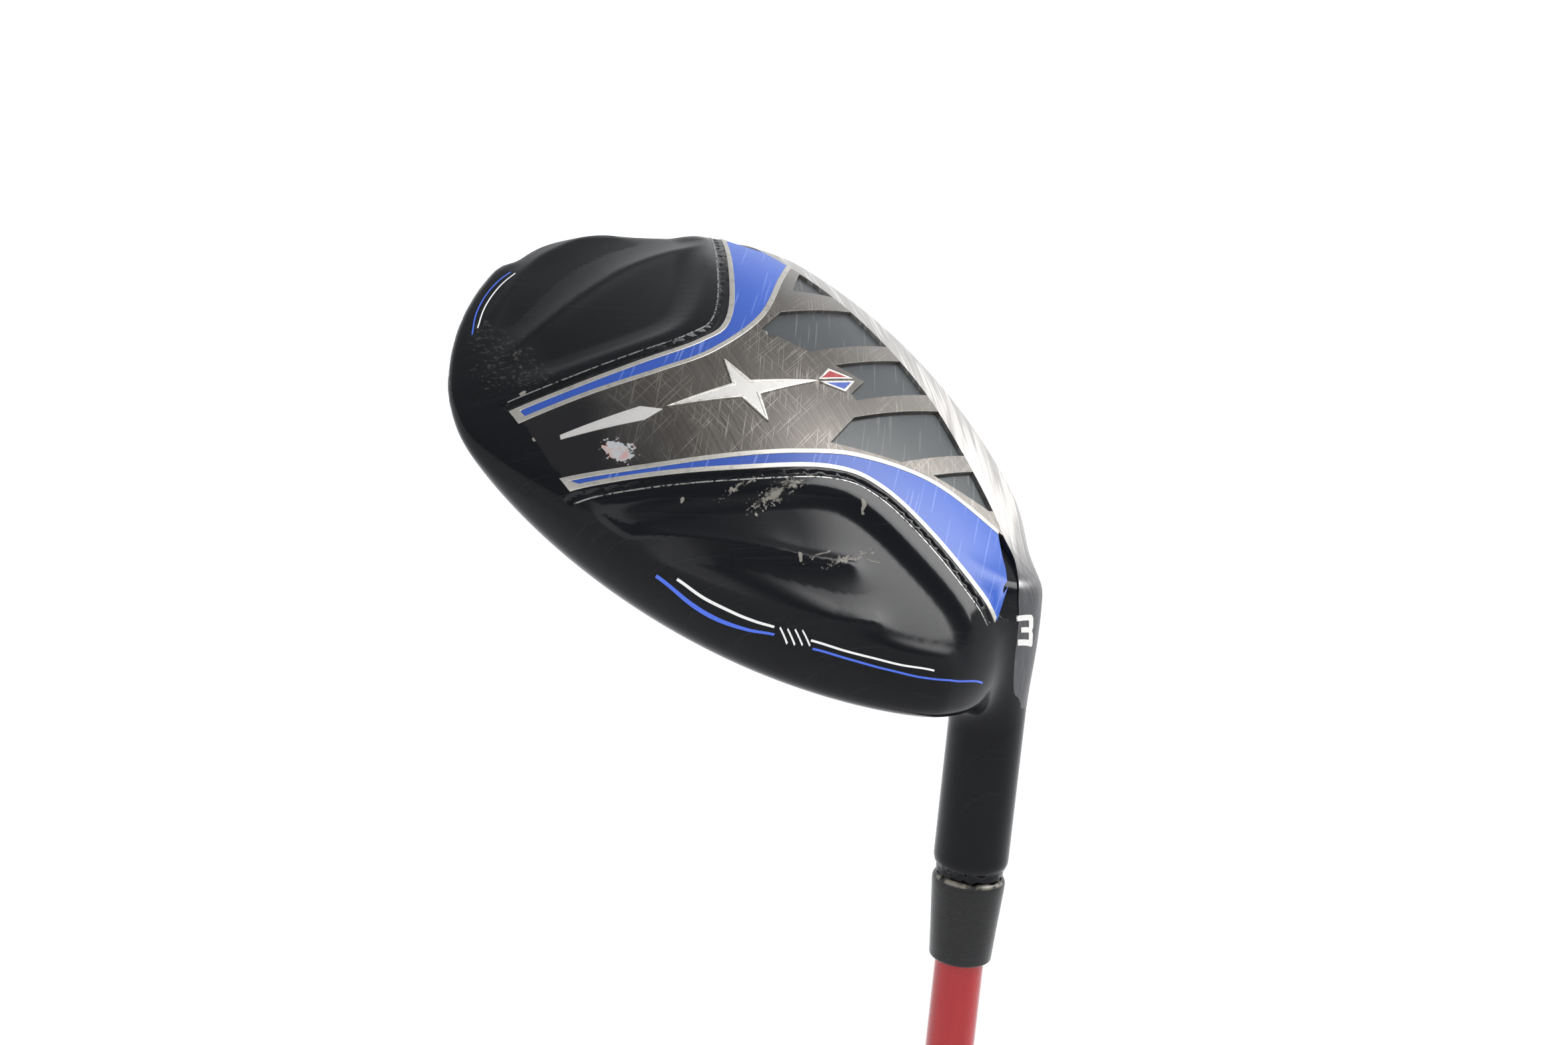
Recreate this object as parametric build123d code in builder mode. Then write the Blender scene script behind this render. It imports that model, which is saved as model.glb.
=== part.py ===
from build123d import *
import os
from math import cos, pi, radians, sin, sqrt

# A three wood: a hollow steel head bonded to a graphite shaft with a rubber grip.
# Row frame: the shaft axis is Z, the butt end of the grip rests on z = 0, the head is on top,
# the toe points to +X and the face looks toward -Y.
# The head is drawn on its own address plane, as it sits on the ground before a shot:
# local x runs to the toe, local y to the target, local z up from the ground.
# All sizes are millimetres and degrees.

# --- Club ---
club_length = 1092.0        # butt end to where the shaft axis meets the ground
lie_angle = 57.5            # shaft axis to the ground
shaft_offset = 33.3         # ground point of the shaft axis, heelward of the address origin

# --- Head, outer shape ---
head_middle_x = 5.0         # widest point of the plan, toward the toe
head_middle_y = -20.0       # widest point of the plan, behind the origin
toe_reach = 60.0            # plan half length on the toe side
heel_reach = 61.0           # plan half length on the heel side
back_reach = 56.0           # plan depth behind the widest point
front_reach = 44.0          # plan depth in front, cut back by the face
toe_back_power = 2.9        # squareness of each quarter of the plan
heel_back_power = 1.8
toe_front_power = 2.6
heel_front_power = 2.0
skirt_height = 19.0         # height of the widest section
skirt_round = 12.0          # radius of the skirt, seen from the side
outline_steps = 24          # points on one section
section_heights = (-2.0, 5.0, 12.0, 19.0, 26.0, 33.0, 41.0)

sole_radius_long = 179.0    # sole camber, heel to toe
sole_radius_deep = 105.0    # sole camber, front to back
sole_low_x = 0.0            # lowest point of the sole
sole_low_y = -12.5
crown_height = 37.0
crown_top_x = 4.0
crown_top_y = 4.0
crown_radius_long = 120.0   # crown camber, heel to toe
crown_radius_deep = 246.0   # crown camber, front to back

loft_angle = 15.0
face_radius = 254.0         # bulge and roll
face_middle_x = 8.0
face_middle_y = 12.0
face_middle_z = 20.0

# --- Head, walls and inner pieces ---
skirt_wall = 0.9
sole_wall = 1.7
crown_wall = 0.6
face_wall = 2.0
cup_depth = 10.5            # how far the face cup wraps behind the face
reach_limit = 120.0         # half size of the boxes that cut the head into zones
cup_heel_end = 28.0         # the cup stops this far heelward, beside the hosel
crown_rim = 3.0             # width of the body rim around the crown plate
bead_width = 2.0
bead_height = 0.7
weight_height = 7.0
weight_depth = 9.0
weight_gap = 1.5            # from the cup seam to the weight
weight_heel_x = -20.0
weight_toe_x = 34.0
pad_radius = 11.0
pad_thickness = 2.0
pad_x = 24.0
pad_y = -48.0

# --- Hosel and shaft ---
hosel_diameter = 12.9
hosel_reach = 60.0          # ground point of the axis to the end of the hosel
hosel_edge = 2.2            # rounding of the hosel end
collar_diameter = 11.9      # turned-down seat between hosel and ferrule
collar_height = 1.0
tip_diameter = 8.5
butt_diameter = 15.2
tip_parallel = 76.0         # straight length at the tip
tip_depth = 32.0            # shaft inside the hosel
tip_bore = 3.6
butt_wall = 1.1
glue_gap = 0.1
bore_end_gap = 1.0
plug_length = 9.0
ferrule_length = 15.2
ferrule_top_diameter = 12.6
ferrule_low_diameter = 10.8
ferrule_round = 1.1

# --- Grip ---
grip_length = 267.0
grip_butt_diameter = 27.0
grip_mouth_diameter = 18.6
grip_swell_diameter = 24.6
grip_swell_height = 50.0
grip_edge = 1.5
cap_thickness = 4.0
cap_round = 1.6
vent_diameter = 2.6
tape_thickness = 0.2
tape_back = 6.0              # the tape stops short of the grip mouth

# --- Sole artwork, drawn for a head of this plan and stretched with it ---
artwork_length = 121.0
artwork_depth = 100.0
art_low = -3.0              # the artwork is cut through the head between these heights
art_top = 30.0
artwork_front = 16.0
panel_thickness = 0.8
enamel_thickness = 0.2
stripe_depth = 0.5
trim_width = 1.1
badge_depth = 0.4
print_depth = 0.12
heel_inner_edge = [(-3.0, -66.5), (-7.3, -51.8), (-11.5, -30.0), (-14.2, -19.5), (-20.6, -7.4), (-30.3, 1.3)]
heel_outer_edge = [(-5.9, -66.0), (-12.5, -43.0), (-16.4, -26.6), (-21.4, -19.6), (-32.0, -14.2), (-47.5, -8.8)]
toe_inner_edge = [(11.2, -67.4), (11.4, -57.5), (12.0, -44.0), (14.4, -32.5), (22.6, -18.5), (37.5, -4.0), (45.0, 3.5)]
toe_outer_edge = [(14.5, -67.6), (14.7, -57.8), (15.8, -46.0), (18.0, -34.0), (23.4, -25.6), (43.1, -13.1), (53.0, -7.0)]
windows = {
    "window_enamel_toe": [(42.0, 6.5), (33.1, -4.9), (33.6, 9.0), (42.0, 9.0)],
    "window_enamel_toe_middle": [(19.1, -21.1), (24.6, -13.4), (28.6, 9.0), (16.6, 9.0), (11.9, -15.0)],
    "window_enamel_middle": [(8.1, -11.7), (12.2, 9.0), (2.2, 9.0), (-1.6, -12.9), (0.3, -13.0), (3.6, -8.0)],
    "window_enamel_heel_middle": [(-10.9, -23.9), (-5.6, -15.9), (-2.2, 9.0), (-13.4, 9.0), (-16.4, -12.1)],
    "window_enamel_heel": [(-19.3, -6.7), (-17.0, 9.0), (-26.0, 9.0), (-26.7, 2.3)],
}
star_middle = (3.6, -32.6)
star_long = 14.2
star_wide = 8.0
star_waist = 2.4
accent_middle = (3.6, -14.2)
accent_length = 3.6
accent_width = 2.6
accent_gap = 0.8
dart_points = [(3.4, -47.8), (5.3, -50.6), (5.2, -63.4), (4.4, -63.6), (2.3, -51.2)]
number_height = 5.2
number_width = 3.2
number_stroke = 0.9
number_x = -38.5
number_y = 0.8
number_turn = 23.0          # the figure leans along the front edge of the sole
pinstripe_width = 0.45
pinstripe_steps = 6
white_pinstripe_inset = 7.0
blue_pinstripe_inset = 5.4
heel_pinstripe_angles = (186.0, 243.0)
toe_pinstripe_angles = (300.0, 322.0)

# --- Address plane of the head in the row frame ---
lie = radians(lie_angle)
toe_way = Vector(sin(lie), 0, cos(lie))
up_way = Vector(cos(lie), 0, -sin(lie))
ground_point = Vector(0, 0, club_length)
ADDRESS = Plane(origin=ground_point + toe_way * shaft_offset, x_dir=toe_way, z_dir=up_way)


def head_point(x, y, z):
    """Return a point of the address plane as a point of the row frame."""
    return ADDRESS.from_local_coords(Vector(x, y, z))


def side_plane(x):
    """Return the upright plane at x whose local axes run to the target and up."""
    return Plane(origin=head_point(x, 0, 0), x_dir=ADDRESS.y_dir, z_dir=ADDRESS.x_dir)


def skirt_inset(height):
    """Return how far the skirt has drawn in at this height."""
    return (height - skirt_height) ** 2 / (2 * skirt_round)


def outline_point(angle, inset):
    """Return the plan outline point at this angle, each quarter with its own squareness."""
    across = cos(angle)
    along = sin(angle)
    reach_x = (toe_reach if across > 0 else heel_reach) - inset
    reach_y = front_reach if along > 0 else back_reach - inset
    if along > 0:
        power = toe_front_power if across > 0 else heel_front_power
    else:
        power = toe_back_power if across > 0 else heel_back_power
    x = reach_x * abs(across) ** (2 / power) * (1 if across > 0 else -1)
    y = reach_y * abs(along) ** (2 / power) * (1 if along > 0 else -1)
    return (head_middle_x + x, head_middle_y + y)


def barrel(inset):
    """Loft the plan outline through its heights."""
    with BuildPart() as solid:
        for height in section_heights:
            with BuildSketch(ADDRESS.offset(height)):
                with BuildLine():
                    points = [
                        outline_point(2 * pi * step / outline_steps, inset + skirt_inset(height))
                        for step in range(outline_steps)
                    ]
                    Spline(*points, periodic=True)
                make_face()
        loft()
    return solid.part


def bowl(inset):
    """Turn the solid above the sole surface, drawn in by inset."""
    radius = sole_radius_deep - inset
    half = 0.85 * radius
    low = sole_radius_deep - sqrt(radius ** 2 - half ** 2)
    with BuildPart() as solid:
        with BuildSketch(side_plane(sole_low_x)):
            with BuildLine():
                ThreePointArc((sole_low_y - half, low), (sole_low_y, inset), (sole_low_y + half, low))
                Polyline(
                    (sole_low_y + half, low),
                    (sole_low_y + half, sole_radius_long),
                    (sole_low_y - half, sole_radius_long),
                    (sole_low_y - half, low),
                )
            make_face()
        revolve(axis=Axis(head_point(sole_low_x, 0, sole_radius_long), ADDRESS.y_dir))
    return solid.part


def dome(inset):
    """Turn the solid under the crown surface, drawn in by inset."""
    radius = crown_radius_deep - inset
    half = 0.42 * radius
    middle = crown_height - crown_radius_deep
    edge = middle + sqrt(radius ** 2 - half ** 2)
    axis_height = crown_height - crown_radius_long
    with BuildPart() as solid:
        with BuildSketch(side_plane(crown_top_x)):
            with BuildLine():
                ThreePointArc(
                    (crown_top_y - half, edge), (crown_top_y, crown_height - inset), (crown_top_y + half, edge)
                )
                Polyline(
                    (crown_top_y + half, edge),
                    (crown_top_y + half, axis_height),
                    (crown_top_y - half, axis_height),
                    (crown_top_y - half, edge),
                )
            make_face()
        revolve(axis=Axis(head_point(crown_top_x, 0, axis_height), ADDRESS.y_dir))
    return solid.part


def face_ball(inset):
    """Return the ball whose surface is the bulged and lofted face."""
    loft_turn = radians(loft_angle)
    middle = head_point(
        face_middle_x,
        face_middle_y - face_radius * cos(loft_turn),
        face_middle_z - face_radius * sin(loft_turn),
    )
    with BuildPart() as solid:
        with Locations(middle):
            Sphere(face_radius - inset)
    return solid.part


def head_block(side, sole, crown, face):
    """Return the head shape with each of its surfaces drawn in."""
    with BuildPart() as solid:
        add(barrel(side))
        add(bowl(sole), mode=Mode.INTERSECT)
        add(dome(crown), mode=Mode.INTERSECT)
        add(face_ball(face), mode=Mode.INTERSECT)
    return solid.part


def far_box(low, high):
    """Return a box of the address plane between two corners."""
    size = [top - bottom for bottom, top in zip(low, high)]
    middle = [(top + bottom) / 2 for bottom, top in zip(low, high)]
    with BuildPart() as solid:
        with BuildSketch(ADDRESS.offset(low[2])):
            with Locations((middle[0], middle[1])):
                Rectangle(size[0], size[1])
        extrude(amount=size[2])
    return solid.part


def art_point(point):
    """Return an artwork point stretched with the plan of the head."""
    stretch_x = (toe_reach + heel_reach) / artwork_length
    stretch_y = (front_reach + back_reach) / artwork_depth
    return (point[0] * stretch_x, point[1] * stretch_y)


def prism(sketch):
    """Extrude an artwork sketch upward through the sole."""
    with BuildPart() as solid:
        extrude(sketch, amount=art_top - art_low, dir=ADDRESS.z_dir)
    return solid.part


def polygon_sketch(points):
    """Return the sketch of a straight-sided artwork outline."""
    with BuildSketch(ADDRESS.offset(art_low)) as drawing:
        with BuildLine():
            Polyline(*[art_point(point) for point in points], close=True)
        make_face()
    return drawing.sketch


def shifted(points, distance):
    """Move an edge sideways, to the left of its way, and its rear end forward as well."""
    moved = []
    for index, point in enumerate(points):
        before = Vector(*points[max(index - 1, 0)])
        after = Vector(*points[min(index + 1, len(points) - 1)])
        way = (after - before).normalized()
        place = Vector(*point) + Vector(-way.Y, way.X) * distance
        if index == 0:
            place += way * abs(distance)
        moved.append((place.X, place.Y))
    return moved


def stripe_sketch(inner_edge, outer_edge, trim):
    """Return a stripe between two smooth edges, without a trim of this width along them."""
    inner = [art_point(point) for point in inner_edge]
    outer = [art_point(point) for point in outer_edge]
    side = 1 if outer[0][0] < inner[0][0] else -1
    inner = shifted(inner, side * trim)
    outer = shifted(outer, -side * trim)
    with BuildSketch(ADDRESS.offset(art_low)) as drawing:
        with BuildLine():
            Spline(*inner)
            Line(inner[-1], outer[-1])
            Spline(*reversed(outer))
            Line(outer[0], inner[0])
        make_face()
    return drawing.sketch


def panel_sketch():
    """Return the sole panel, which fills the space between the stripes."""
    left = [art_point(point) for point in heel_inner_edge]
    right = [art_point(point) for point in toe_inner_edge]
    front = art_point((0, artwork_front))[1]
    with BuildSketch(ADDRESS.offset(art_low)) as drawing:
        with BuildLine():
            Spline(*left)
            Polyline(left[-1], (left[-1][0], front), (right[-1][0], front), right[-1])
            Spline(*reversed(right))
            Line(right[0], left[0])
        make_face()
    return drawing.sketch


def star_points():
    """Return the long four-pointed star of the badge."""
    x, y = star_middle
    waist = star_waist
    return [
        (x, y + star_long), (x + waist, y + waist), (x + star_wide, y), (x + waist, y - waist),
        (x, y - star_long), (x - waist, y - waist), (x - star_wide, y), (x - waist, y + waist),
    ]


def accent_points(side):
    """Return half of the small diamond in front of the star, on one side of its middle."""
    x, y = accent_middle
    near = x + side * accent_gap / 2
    return [(near, y - accent_length), (near + side * accent_width, y), (near, y + accent_length)]


def pinstripe_sketch(inset, start, end):
    """Return a thin line that runs beside the trailing edge between two angles."""
    angles = [radians(start + (end - start) * step / pinstripe_steps) for step in range(pinstripe_steps + 1)]
    outside = [outline_point(angle, inset) for angle in angles]
    inside = [outline_point(angle, inset + pinstripe_width) for angle in angles]
    with BuildSketch(ADDRESS.offset(art_low)) as drawing:
        with BuildLine():
            Spline(*outside)
            Line(outside[-1], inside[-1])
            Spline(*reversed(inside))
            Line(inside[0], outside[0])
        make_face()
    return drawing.sketch


def number_sketch():
    """Return the club number, a squared figure three that reads from below."""
    middle = Vector(*art_point((number_x, number_y)))
    half_width = Vector(0, number_width / 2).rotate(Axis.Z, number_turn)
    half_height = Vector(number_height / 2, 0).rotate(Axis.Z, number_turn)
    with BuildSketch(ADDRESS.offset(art_low)) as drawing:
        with BuildLine():
            Polyline(
                middle - half_height - half_width,
                middle - half_height + half_width,
                middle + half_height + half_width,
                middle + half_height - half_width,
            )
            Line(middle + half_width, middle - half_width / 2)
        trace(line_width=number_stroke)
    return drawing.sketch


def sole_layer(outer_inset, inner_inset, front):
    """Return the skin of the sole between two depths, inside the skirt and behind a front."""
    with BuildPart() as solid:
        add(bowl(outer_inset))
        add(bowl(inner_inset), mode=Mode.SUBTRACT)
        add(outer_barrel, mode=Mode.INTERSECT)
        add(front, mode=Mode.INTERSECT)
    return solid.part


def inlay(sketch, skin):
    """Return the piece of a skin that lies under a sketch."""
    with BuildPart() as solid:
        add(prism(sketch))
        add(skin, mode=Mode.INTERSECT)
    return solid.part


def finish(piece, label):
    """Name a finished piece and write its file."""
    piece.label = label
    export_step(piece, f"parts/{label}.step")


os.makedirs("parts", exist_ok=True)
far_corner = (reach_limit, reach_limit, reach_limit)

# --- Blocks that several pieces share ---
outer_barrel = barrel(0)
outer_block = head_block(0, 0, 0, 0)
cavity = head_block(skirt_wall, sole_wall, crown_wall, face_wall)
seam_ball = face_ball(cup_depth)
stripe_skin = sole_layer(0, stripe_depth, seam_ball)
panel_skin = sole_layer(0, panel_thickness, seam_ball)
enamel_skin = sole_layer(panel_thickness - enamel_thickness, panel_thickness, seam_ball)
badge_skin = sole_layer(0, badge_depth, seam_ball)
print_skin = sole_layer(0, print_depth, face_ball(0))

# --- Heights along the shaft axis ---
hosel_end = club_length - hosel_reach
collar_end = hosel_end - collar_height
ferrule_end = collar_end - ferrule_length
tip_end = hosel_end + tip_depth
bore_end = tip_end + bore_end_gap
bore_diameter = tip_diameter + 2 * glue_gap

# --- Blue stripes and their silver trims ---
with BuildPart() as heel_stripe:
    add(inlay(stripe_sketch(heel_inner_edge, heel_outer_edge, trim_width), stripe_skin))
finish(heel_stripe.part, "heel_stripe")

with BuildPart() as heel_stripe_trim:
    add(inlay(stripe_sketch(heel_inner_edge, heel_outer_edge, 0), stripe_skin))
    add(heel_stripe.part, mode=Mode.SUBTRACT)
finish(heel_stripe_trim.part, "heel_stripe_trim")

with BuildPart() as toe_stripe:
    add(inlay(stripe_sketch(toe_inner_edge, toe_outer_edge, trim_width), stripe_skin))
finish(toe_stripe.part, "toe_stripe")

with BuildPart() as toe_stripe_trim:
    add(inlay(stripe_sketch(toe_inner_edge, toe_outer_edge, 0), stripe_skin))
    add(toe_stripe.part, mode=Mode.SUBTRACT)
finish(toe_stripe_trim.part, "toe_stripe_trim")

# --- Badge and dart, set into the panel ---
with BuildPart() as star_badge:
    add(inlay(polygon_sketch(star_points()), badge_skin))
finish(star_badge.part, "star_badge")

with BuildPart() as red_accent:
    add(inlay(polygon_sketch(accent_points(1)), badge_skin))
finish(red_accent.part, "red_accent")

with BuildPart() as blue_accent:
    add(inlay(polygon_sketch(accent_points(-1)), badge_skin))
finish(blue_accent.part, "blue_accent")

with BuildPart() as dart_mark:
    add(inlay(polygon_sketch(dart_points), badge_skin))
finish(dart_mark.part, "dart_mark")

# --- Brushed sole panel with its five windows, and the dark enamel on their floors ---
panel_blank = inlay(panel_sketch(), panel_skin)

with BuildPart() as sole_panel:
    add(panel_blank)
    for points in windows.values():
        add(prism(polygon_sketch(points)), mode=Mode.SUBTRACT)
    for mark in (star_badge, red_accent, blue_accent, dart_mark):
        add(mark.part, mode=Mode.SUBTRACT)
finish(sole_panel.part, "sole_panel")

for label, points in windows.items():
    with BuildPart() as window_enamel:
        add(inlay(polygon_sketch(points), enamel_skin))
    finish(window_enamel.part, label)

# --- Printed lines and the club number ---
prints = {
    "heel_pinstripe_white": pinstripe_sketch(white_pinstripe_inset, *heel_pinstripe_angles),
    "heel_pinstripe_blue": pinstripe_sketch(blue_pinstripe_inset, *heel_pinstripe_angles),
    "toe_pinstripe_white": pinstripe_sketch(white_pinstripe_inset, *toe_pinstripe_angles),
    "toe_pinstripe_blue": pinstripe_sketch(blue_pinstripe_inset, *toe_pinstripe_angles),
    "club_number": number_sketch(),
}
printed_parts = []
for label, drawing in prints.items():
    with BuildPart() as printed_mark:
        add(inlay(drawing, print_skin))
    finish(printed_mark.part, label)
    printed_parts.append(printed_mark.part)

# --- Cup zone: in front of the seam and toeward of the hosel ---
with BuildPart() as cup_zone:
    add(far_box((-cup_heel_end, -reach_limit, -reach_limit), far_corner))
    add(seam_ball, mode=Mode.SUBTRACT)

with BuildPart() as face_cup:
    add(outer_block)
    add(cavity, mode=Mode.SUBTRACT)
    add(cup_zone.part, mode=Mode.INTERSECT)
finish(face_cup.part, "face_cup")

# --- Crown plate, set in the body rim behind the cup and clear of the hosel ---
with BuildPart() as crown_plate:
    add(head_block(crown_rim, 0, 0, cup_depth))
    add(dome(crown_wall), mode=Mode.SUBTRACT)
    with BuildSketch(Plane.XY.offset(hosel_end)):
        Circle(hosel_diameter / 2 + crown_rim)
    extrude(amount=hosel_reach, mode=Mode.SUBTRACT)
finish(crown_plate.part, "crown_plate")

# --- Hosel, trimmed to the sole and the face ---
with BuildPart() as hosel_tube:
    with BuildSketch(Plane.XY.offset(hosel_end)):
        Circle(hosel_diameter / 2)
    extrude(amount=hosel_reach)
    fillet(hosel_tube.edges().group_by(Axis.Z)[0], hosel_edge)
    with BuildSketch(Plane.XY.offset(collar_end)):
        Circle(collar_diameter / 2)
    extrude(amount=collar_height + hosel_edge)
    add(bowl(0), mode=Mode.INTERSECT)
    add(face_ball(0), mode=Mode.INTERSECT)

# --- Head body: sole, skirt and hosel in one casting ---
with BuildPart() as head_body:
    add(outer_block)
    add(cavity, mode=Mode.SUBTRACT)
    add(hosel_tube.part)
    with BuildSketch(Plane.XY.offset(collar_end)):
        Circle(bore_diameter / 2)
    extrude(amount=bore_end - collar_end, mode=Mode.SUBTRACT)
    add(cup_zone.part, mode=Mode.SUBTRACT)
    add(crown_plate.part, mode=Mode.SUBTRACT)
    add(panel_blank, mode=Mode.SUBTRACT)
    for stripe in (heel_stripe, heel_stripe_trim, toe_stripe, toe_stripe_trim):
        add(stripe.part, mode=Mode.SUBTRACT)
    for printed in printed_parts:
        add(printed, mode=Mode.SUBTRACT)
finish(head_body.part, "head_body")

# --- Inside the head: weld bead, forward weight and glue pad ---
with BuildPart() as cup_weld_bead:
    add(cavity)
    add(
        head_block(skirt_wall + bead_height, sole_wall + bead_height, crown_wall + bead_height, 0),
        mode=Mode.SUBTRACT,
    )
    add(face_ball(cup_depth - bead_width / 2), mode=Mode.INTERSECT)
    add(face_ball(cup_depth + bead_width / 2), mode=Mode.SUBTRACT)
    add(far_box((-cup_heel_end, -reach_limit, -reach_limit), far_corner), mode=Mode.INTERSECT)
finish(cup_weld_bead.part, "cup_weld_bead")

weight_front = cup_depth + weight_gap
with BuildPart() as forward_weight:
    add(far_box((weight_heel_x, -reach_limit, -reach_limit), (weight_toe_x, reach_limit, reach_limit)))
    add(cavity, mode=Mode.INTERSECT)
    add(bowl(sole_wall + weight_height), mode=Mode.SUBTRACT)
    add(face_ball(weight_front), mode=Mode.INTERSECT)
    add(face_ball(weight_front + weight_depth), mode=Mode.SUBTRACT)
finish(forward_weight.part, "forward_weight")

with BuildPart() as glue_pad:
    with BuildSketch(ADDRESS.offset(0)):
        with Locations((pad_x, pad_y)):
            Circle(pad_radius)
    extrude(amount=art_top)
    add(cavity, mode=Mode.INTERSECT)
    add(bowl(sole_wall + pad_thickness), mode=Mode.SUBTRACT)
finish(glue_pad.part, "glue_pad")


# --- Shaft, its plug and glue, and the ferrule ---
taper_end = tip_end - tip_parallel
shaft_slope = (butt_diameter - tip_diameter) / 2 / (taper_end - cap_thickness)


def shaft_radius(height):
    """Return the outside radius of the shaft at this height."""
    return tip_diameter / 2 + shaft_slope * max(taper_end - height, 0)


with BuildPart() as shaft:
    with BuildSketch(Plane.XZ):
        with BuildLine():
            Polyline(
                (tip_bore / 2, tip_end),
                (tip_diameter / 2, tip_end),
                (tip_diameter / 2, taper_end),
                (butt_diameter / 2, cap_thickness),
                (butt_diameter / 2 - butt_wall, cap_thickness),
                (tip_bore / 2, taper_end),
                close=True,
            )
        make_face()
    revolve(axis=Axis.Z)
finish(shaft.part, "shaft")

with BuildPart() as shaft_tip_plug:
    with BuildSketch(Plane.XY.offset(tip_end - plug_length)):
        Circle(tip_bore / 2)
    extrude(amount=plug_length)
finish(shaft_tip_plug.part, "shaft_tip_plug")

with BuildPart() as glue_sleeve:
    with BuildSketch(Plane.XY.offset(ferrule_end)):
        Circle(bore_diameter / 2)
        Circle(tip_diameter / 2, mode=Mode.SUBTRACT)
    extrude(amount=tip_end - ferrule_end)
finish(glue_sleeve.part, "glue_sleeve")

with BuildPart() as ferrule:
    with BuildSketch(Plane.XZ):
        with BuildLine():
            Polyline(
                (bore_diameter / 2, collar_end),
                (ferrule_top_diameter / 2, collar_end),
                (ferrule_low_diameter / 2, ferrule_end),
                (bore_diameter / 2, ferrule_end),
                close=True,
            )
        make_face()
    revolve(axis=Axis.Z)
    fillet(ferrule.edges().group_by(Axis.Z)[0].sort_by(SortBy.RADIUS)[-1], ferrule_round)
finish(ferrule.part, "ferrule")

# --- Grip: tape, rubber sleeve and butt cap ---
grip_end = cap_thickness + grip_length
tape_end = grip_end - tape_back

with BuildPart() as grip_tape:
    with BuildSketch(Plane.XZ):
        with BuildLine():
            Polyline(
                (shaft_radius(cap_thickness), cap_thickness),
                (shaft_radius(cap_thickness) + tape_thickness, cap_thickness),
                (shaft_radius(tape_end) + tape_thickness, tape_end),
                (shaft_radius(tape_end), tape_end),
                close=True,
            )
        make_face()
    revolve(axis=Axis.Z)
finish(grip_tape.part, "grip_tape")

with BuildPart() as grip:
    with BuildSketch(Plane.XZ):
        with BuildLine():
            Spline(
                (grip_butt_diameter / 2, cap_thickness),
                (grip_swell_diameter / 2, cap_thickness + grip_swell_height),
                (grip_mouth_diameter / 2, grip_end),
            )
            Polyline(
                (grip_mouth_diameter / 2, grip_end),
                (shaft_radius(grip_end) + tape_thickness, grip_end),
                (shaft_radius(cap_thickness) + tape_thickness, cap_thickness),
                (grip_butt_diameter / 2, cap_thickness),
            )
        make_face()
    revolve(axis=Axis.Z)
    fillet(grip.edges().group_by(Axis.Z)[-1].sort_by(SortBy.RADIUS)[-1], grip_edge)
finish(grip.part, "grip")

with BuildPart() as grip_cap:
    with BuildSketch(Plane.XY):
        Circle(grip_butt_diameter / 2)
    extrude(amount=cap_thickness)
    fillet(grip_cap.edges().group_by(Axis.Z)[0], cap_round)
    with BuildSketch(Plane.XY):
        Circle(vent_diameter / 2)
    extrude(amount=cap_thickness, mode=Mode.SUBTRACT)
finish(grip_cap.part, "grip_cap")
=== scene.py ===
from math import cos, pi, radians, sin

import bpy
import numpy as np
from mathutils import Matrix, Vector
from mathutils.geometry import delaunay_2d_cdt


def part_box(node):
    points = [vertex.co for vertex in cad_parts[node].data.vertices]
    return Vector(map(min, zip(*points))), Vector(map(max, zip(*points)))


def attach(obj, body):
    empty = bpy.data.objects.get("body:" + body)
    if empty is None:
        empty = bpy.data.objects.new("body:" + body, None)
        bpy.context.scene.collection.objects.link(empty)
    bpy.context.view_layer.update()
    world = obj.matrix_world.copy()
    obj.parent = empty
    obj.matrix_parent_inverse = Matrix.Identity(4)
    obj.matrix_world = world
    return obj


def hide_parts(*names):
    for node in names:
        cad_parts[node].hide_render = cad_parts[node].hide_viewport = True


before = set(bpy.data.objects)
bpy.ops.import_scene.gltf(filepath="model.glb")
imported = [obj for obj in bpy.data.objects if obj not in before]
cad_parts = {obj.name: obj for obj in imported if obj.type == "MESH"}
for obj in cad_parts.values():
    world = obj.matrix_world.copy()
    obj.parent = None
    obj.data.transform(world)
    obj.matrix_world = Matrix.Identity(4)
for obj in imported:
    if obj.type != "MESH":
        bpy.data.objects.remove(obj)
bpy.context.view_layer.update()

# The head is worked out on its own address plane in millimetres: x runs to the toe,
# y to the target and z up from the ground. The row frame is in metres, with the shaft on Z.

MM = 0.001
LIE = radians(57.5)
TIP_TO_GROUND = 28.0
SHAFT_TO_MIDDLE = 33.3
TOE_WAY = np.array([sin(LIE), 0.0, cos(LIE)])
TARGET_WAY = np.array([0.0, -1.0, 0.0])
UP_WAY = np.array([cos(LIE), 0.0, -sin(LIE)])
TURN = np.column_stack([TOE_WAY, TARGET_WAY, UP_WAY])
GROUND_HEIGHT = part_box("shaft")[1].z / MM + TIP_TO_GROUND
ADDRESS_ORIGIN = np.array([0.0, 0.0, GROUND_HEIGHT]) + TOE_WAY * SHAFT_TO_MIDDLE

SOLE_LONG = 179.0
SOLE_DEEP = 105.0
SOLE_LOW_Y = -12.5
CROWN_HEIGHT = 37.0
CROWN_LONG = 121.0
CROWN_DEEP = 246.0
CROWN_TOP = 4.0
SKIRT_HEIGHT = 20.0
SKIRT_ROUND = 24.0
PLAN_MIDDLE = (17.6, -20.0)
TOE_REACH = 46.2
HEEL_REACH = 74.6
BACK_REACH = 55.3
FRONT_REACH = 44.0
FACE_RADIUS = 254.0
LOFT = radians(15.0)
FACE_MIDDLE = (8.0, 12.0 - FACE_RADIUS * cos(LOFT), 20.0 - FACE_RADIUS * sin(LOFT))
HOSEL_RADIUS = 6.45
HOSEL_REACH = 60.0
HOSEL_ROOT = 9.0
COLLAR_RADIUS = 5.8
COLLAR_REACH = 61.0

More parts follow.
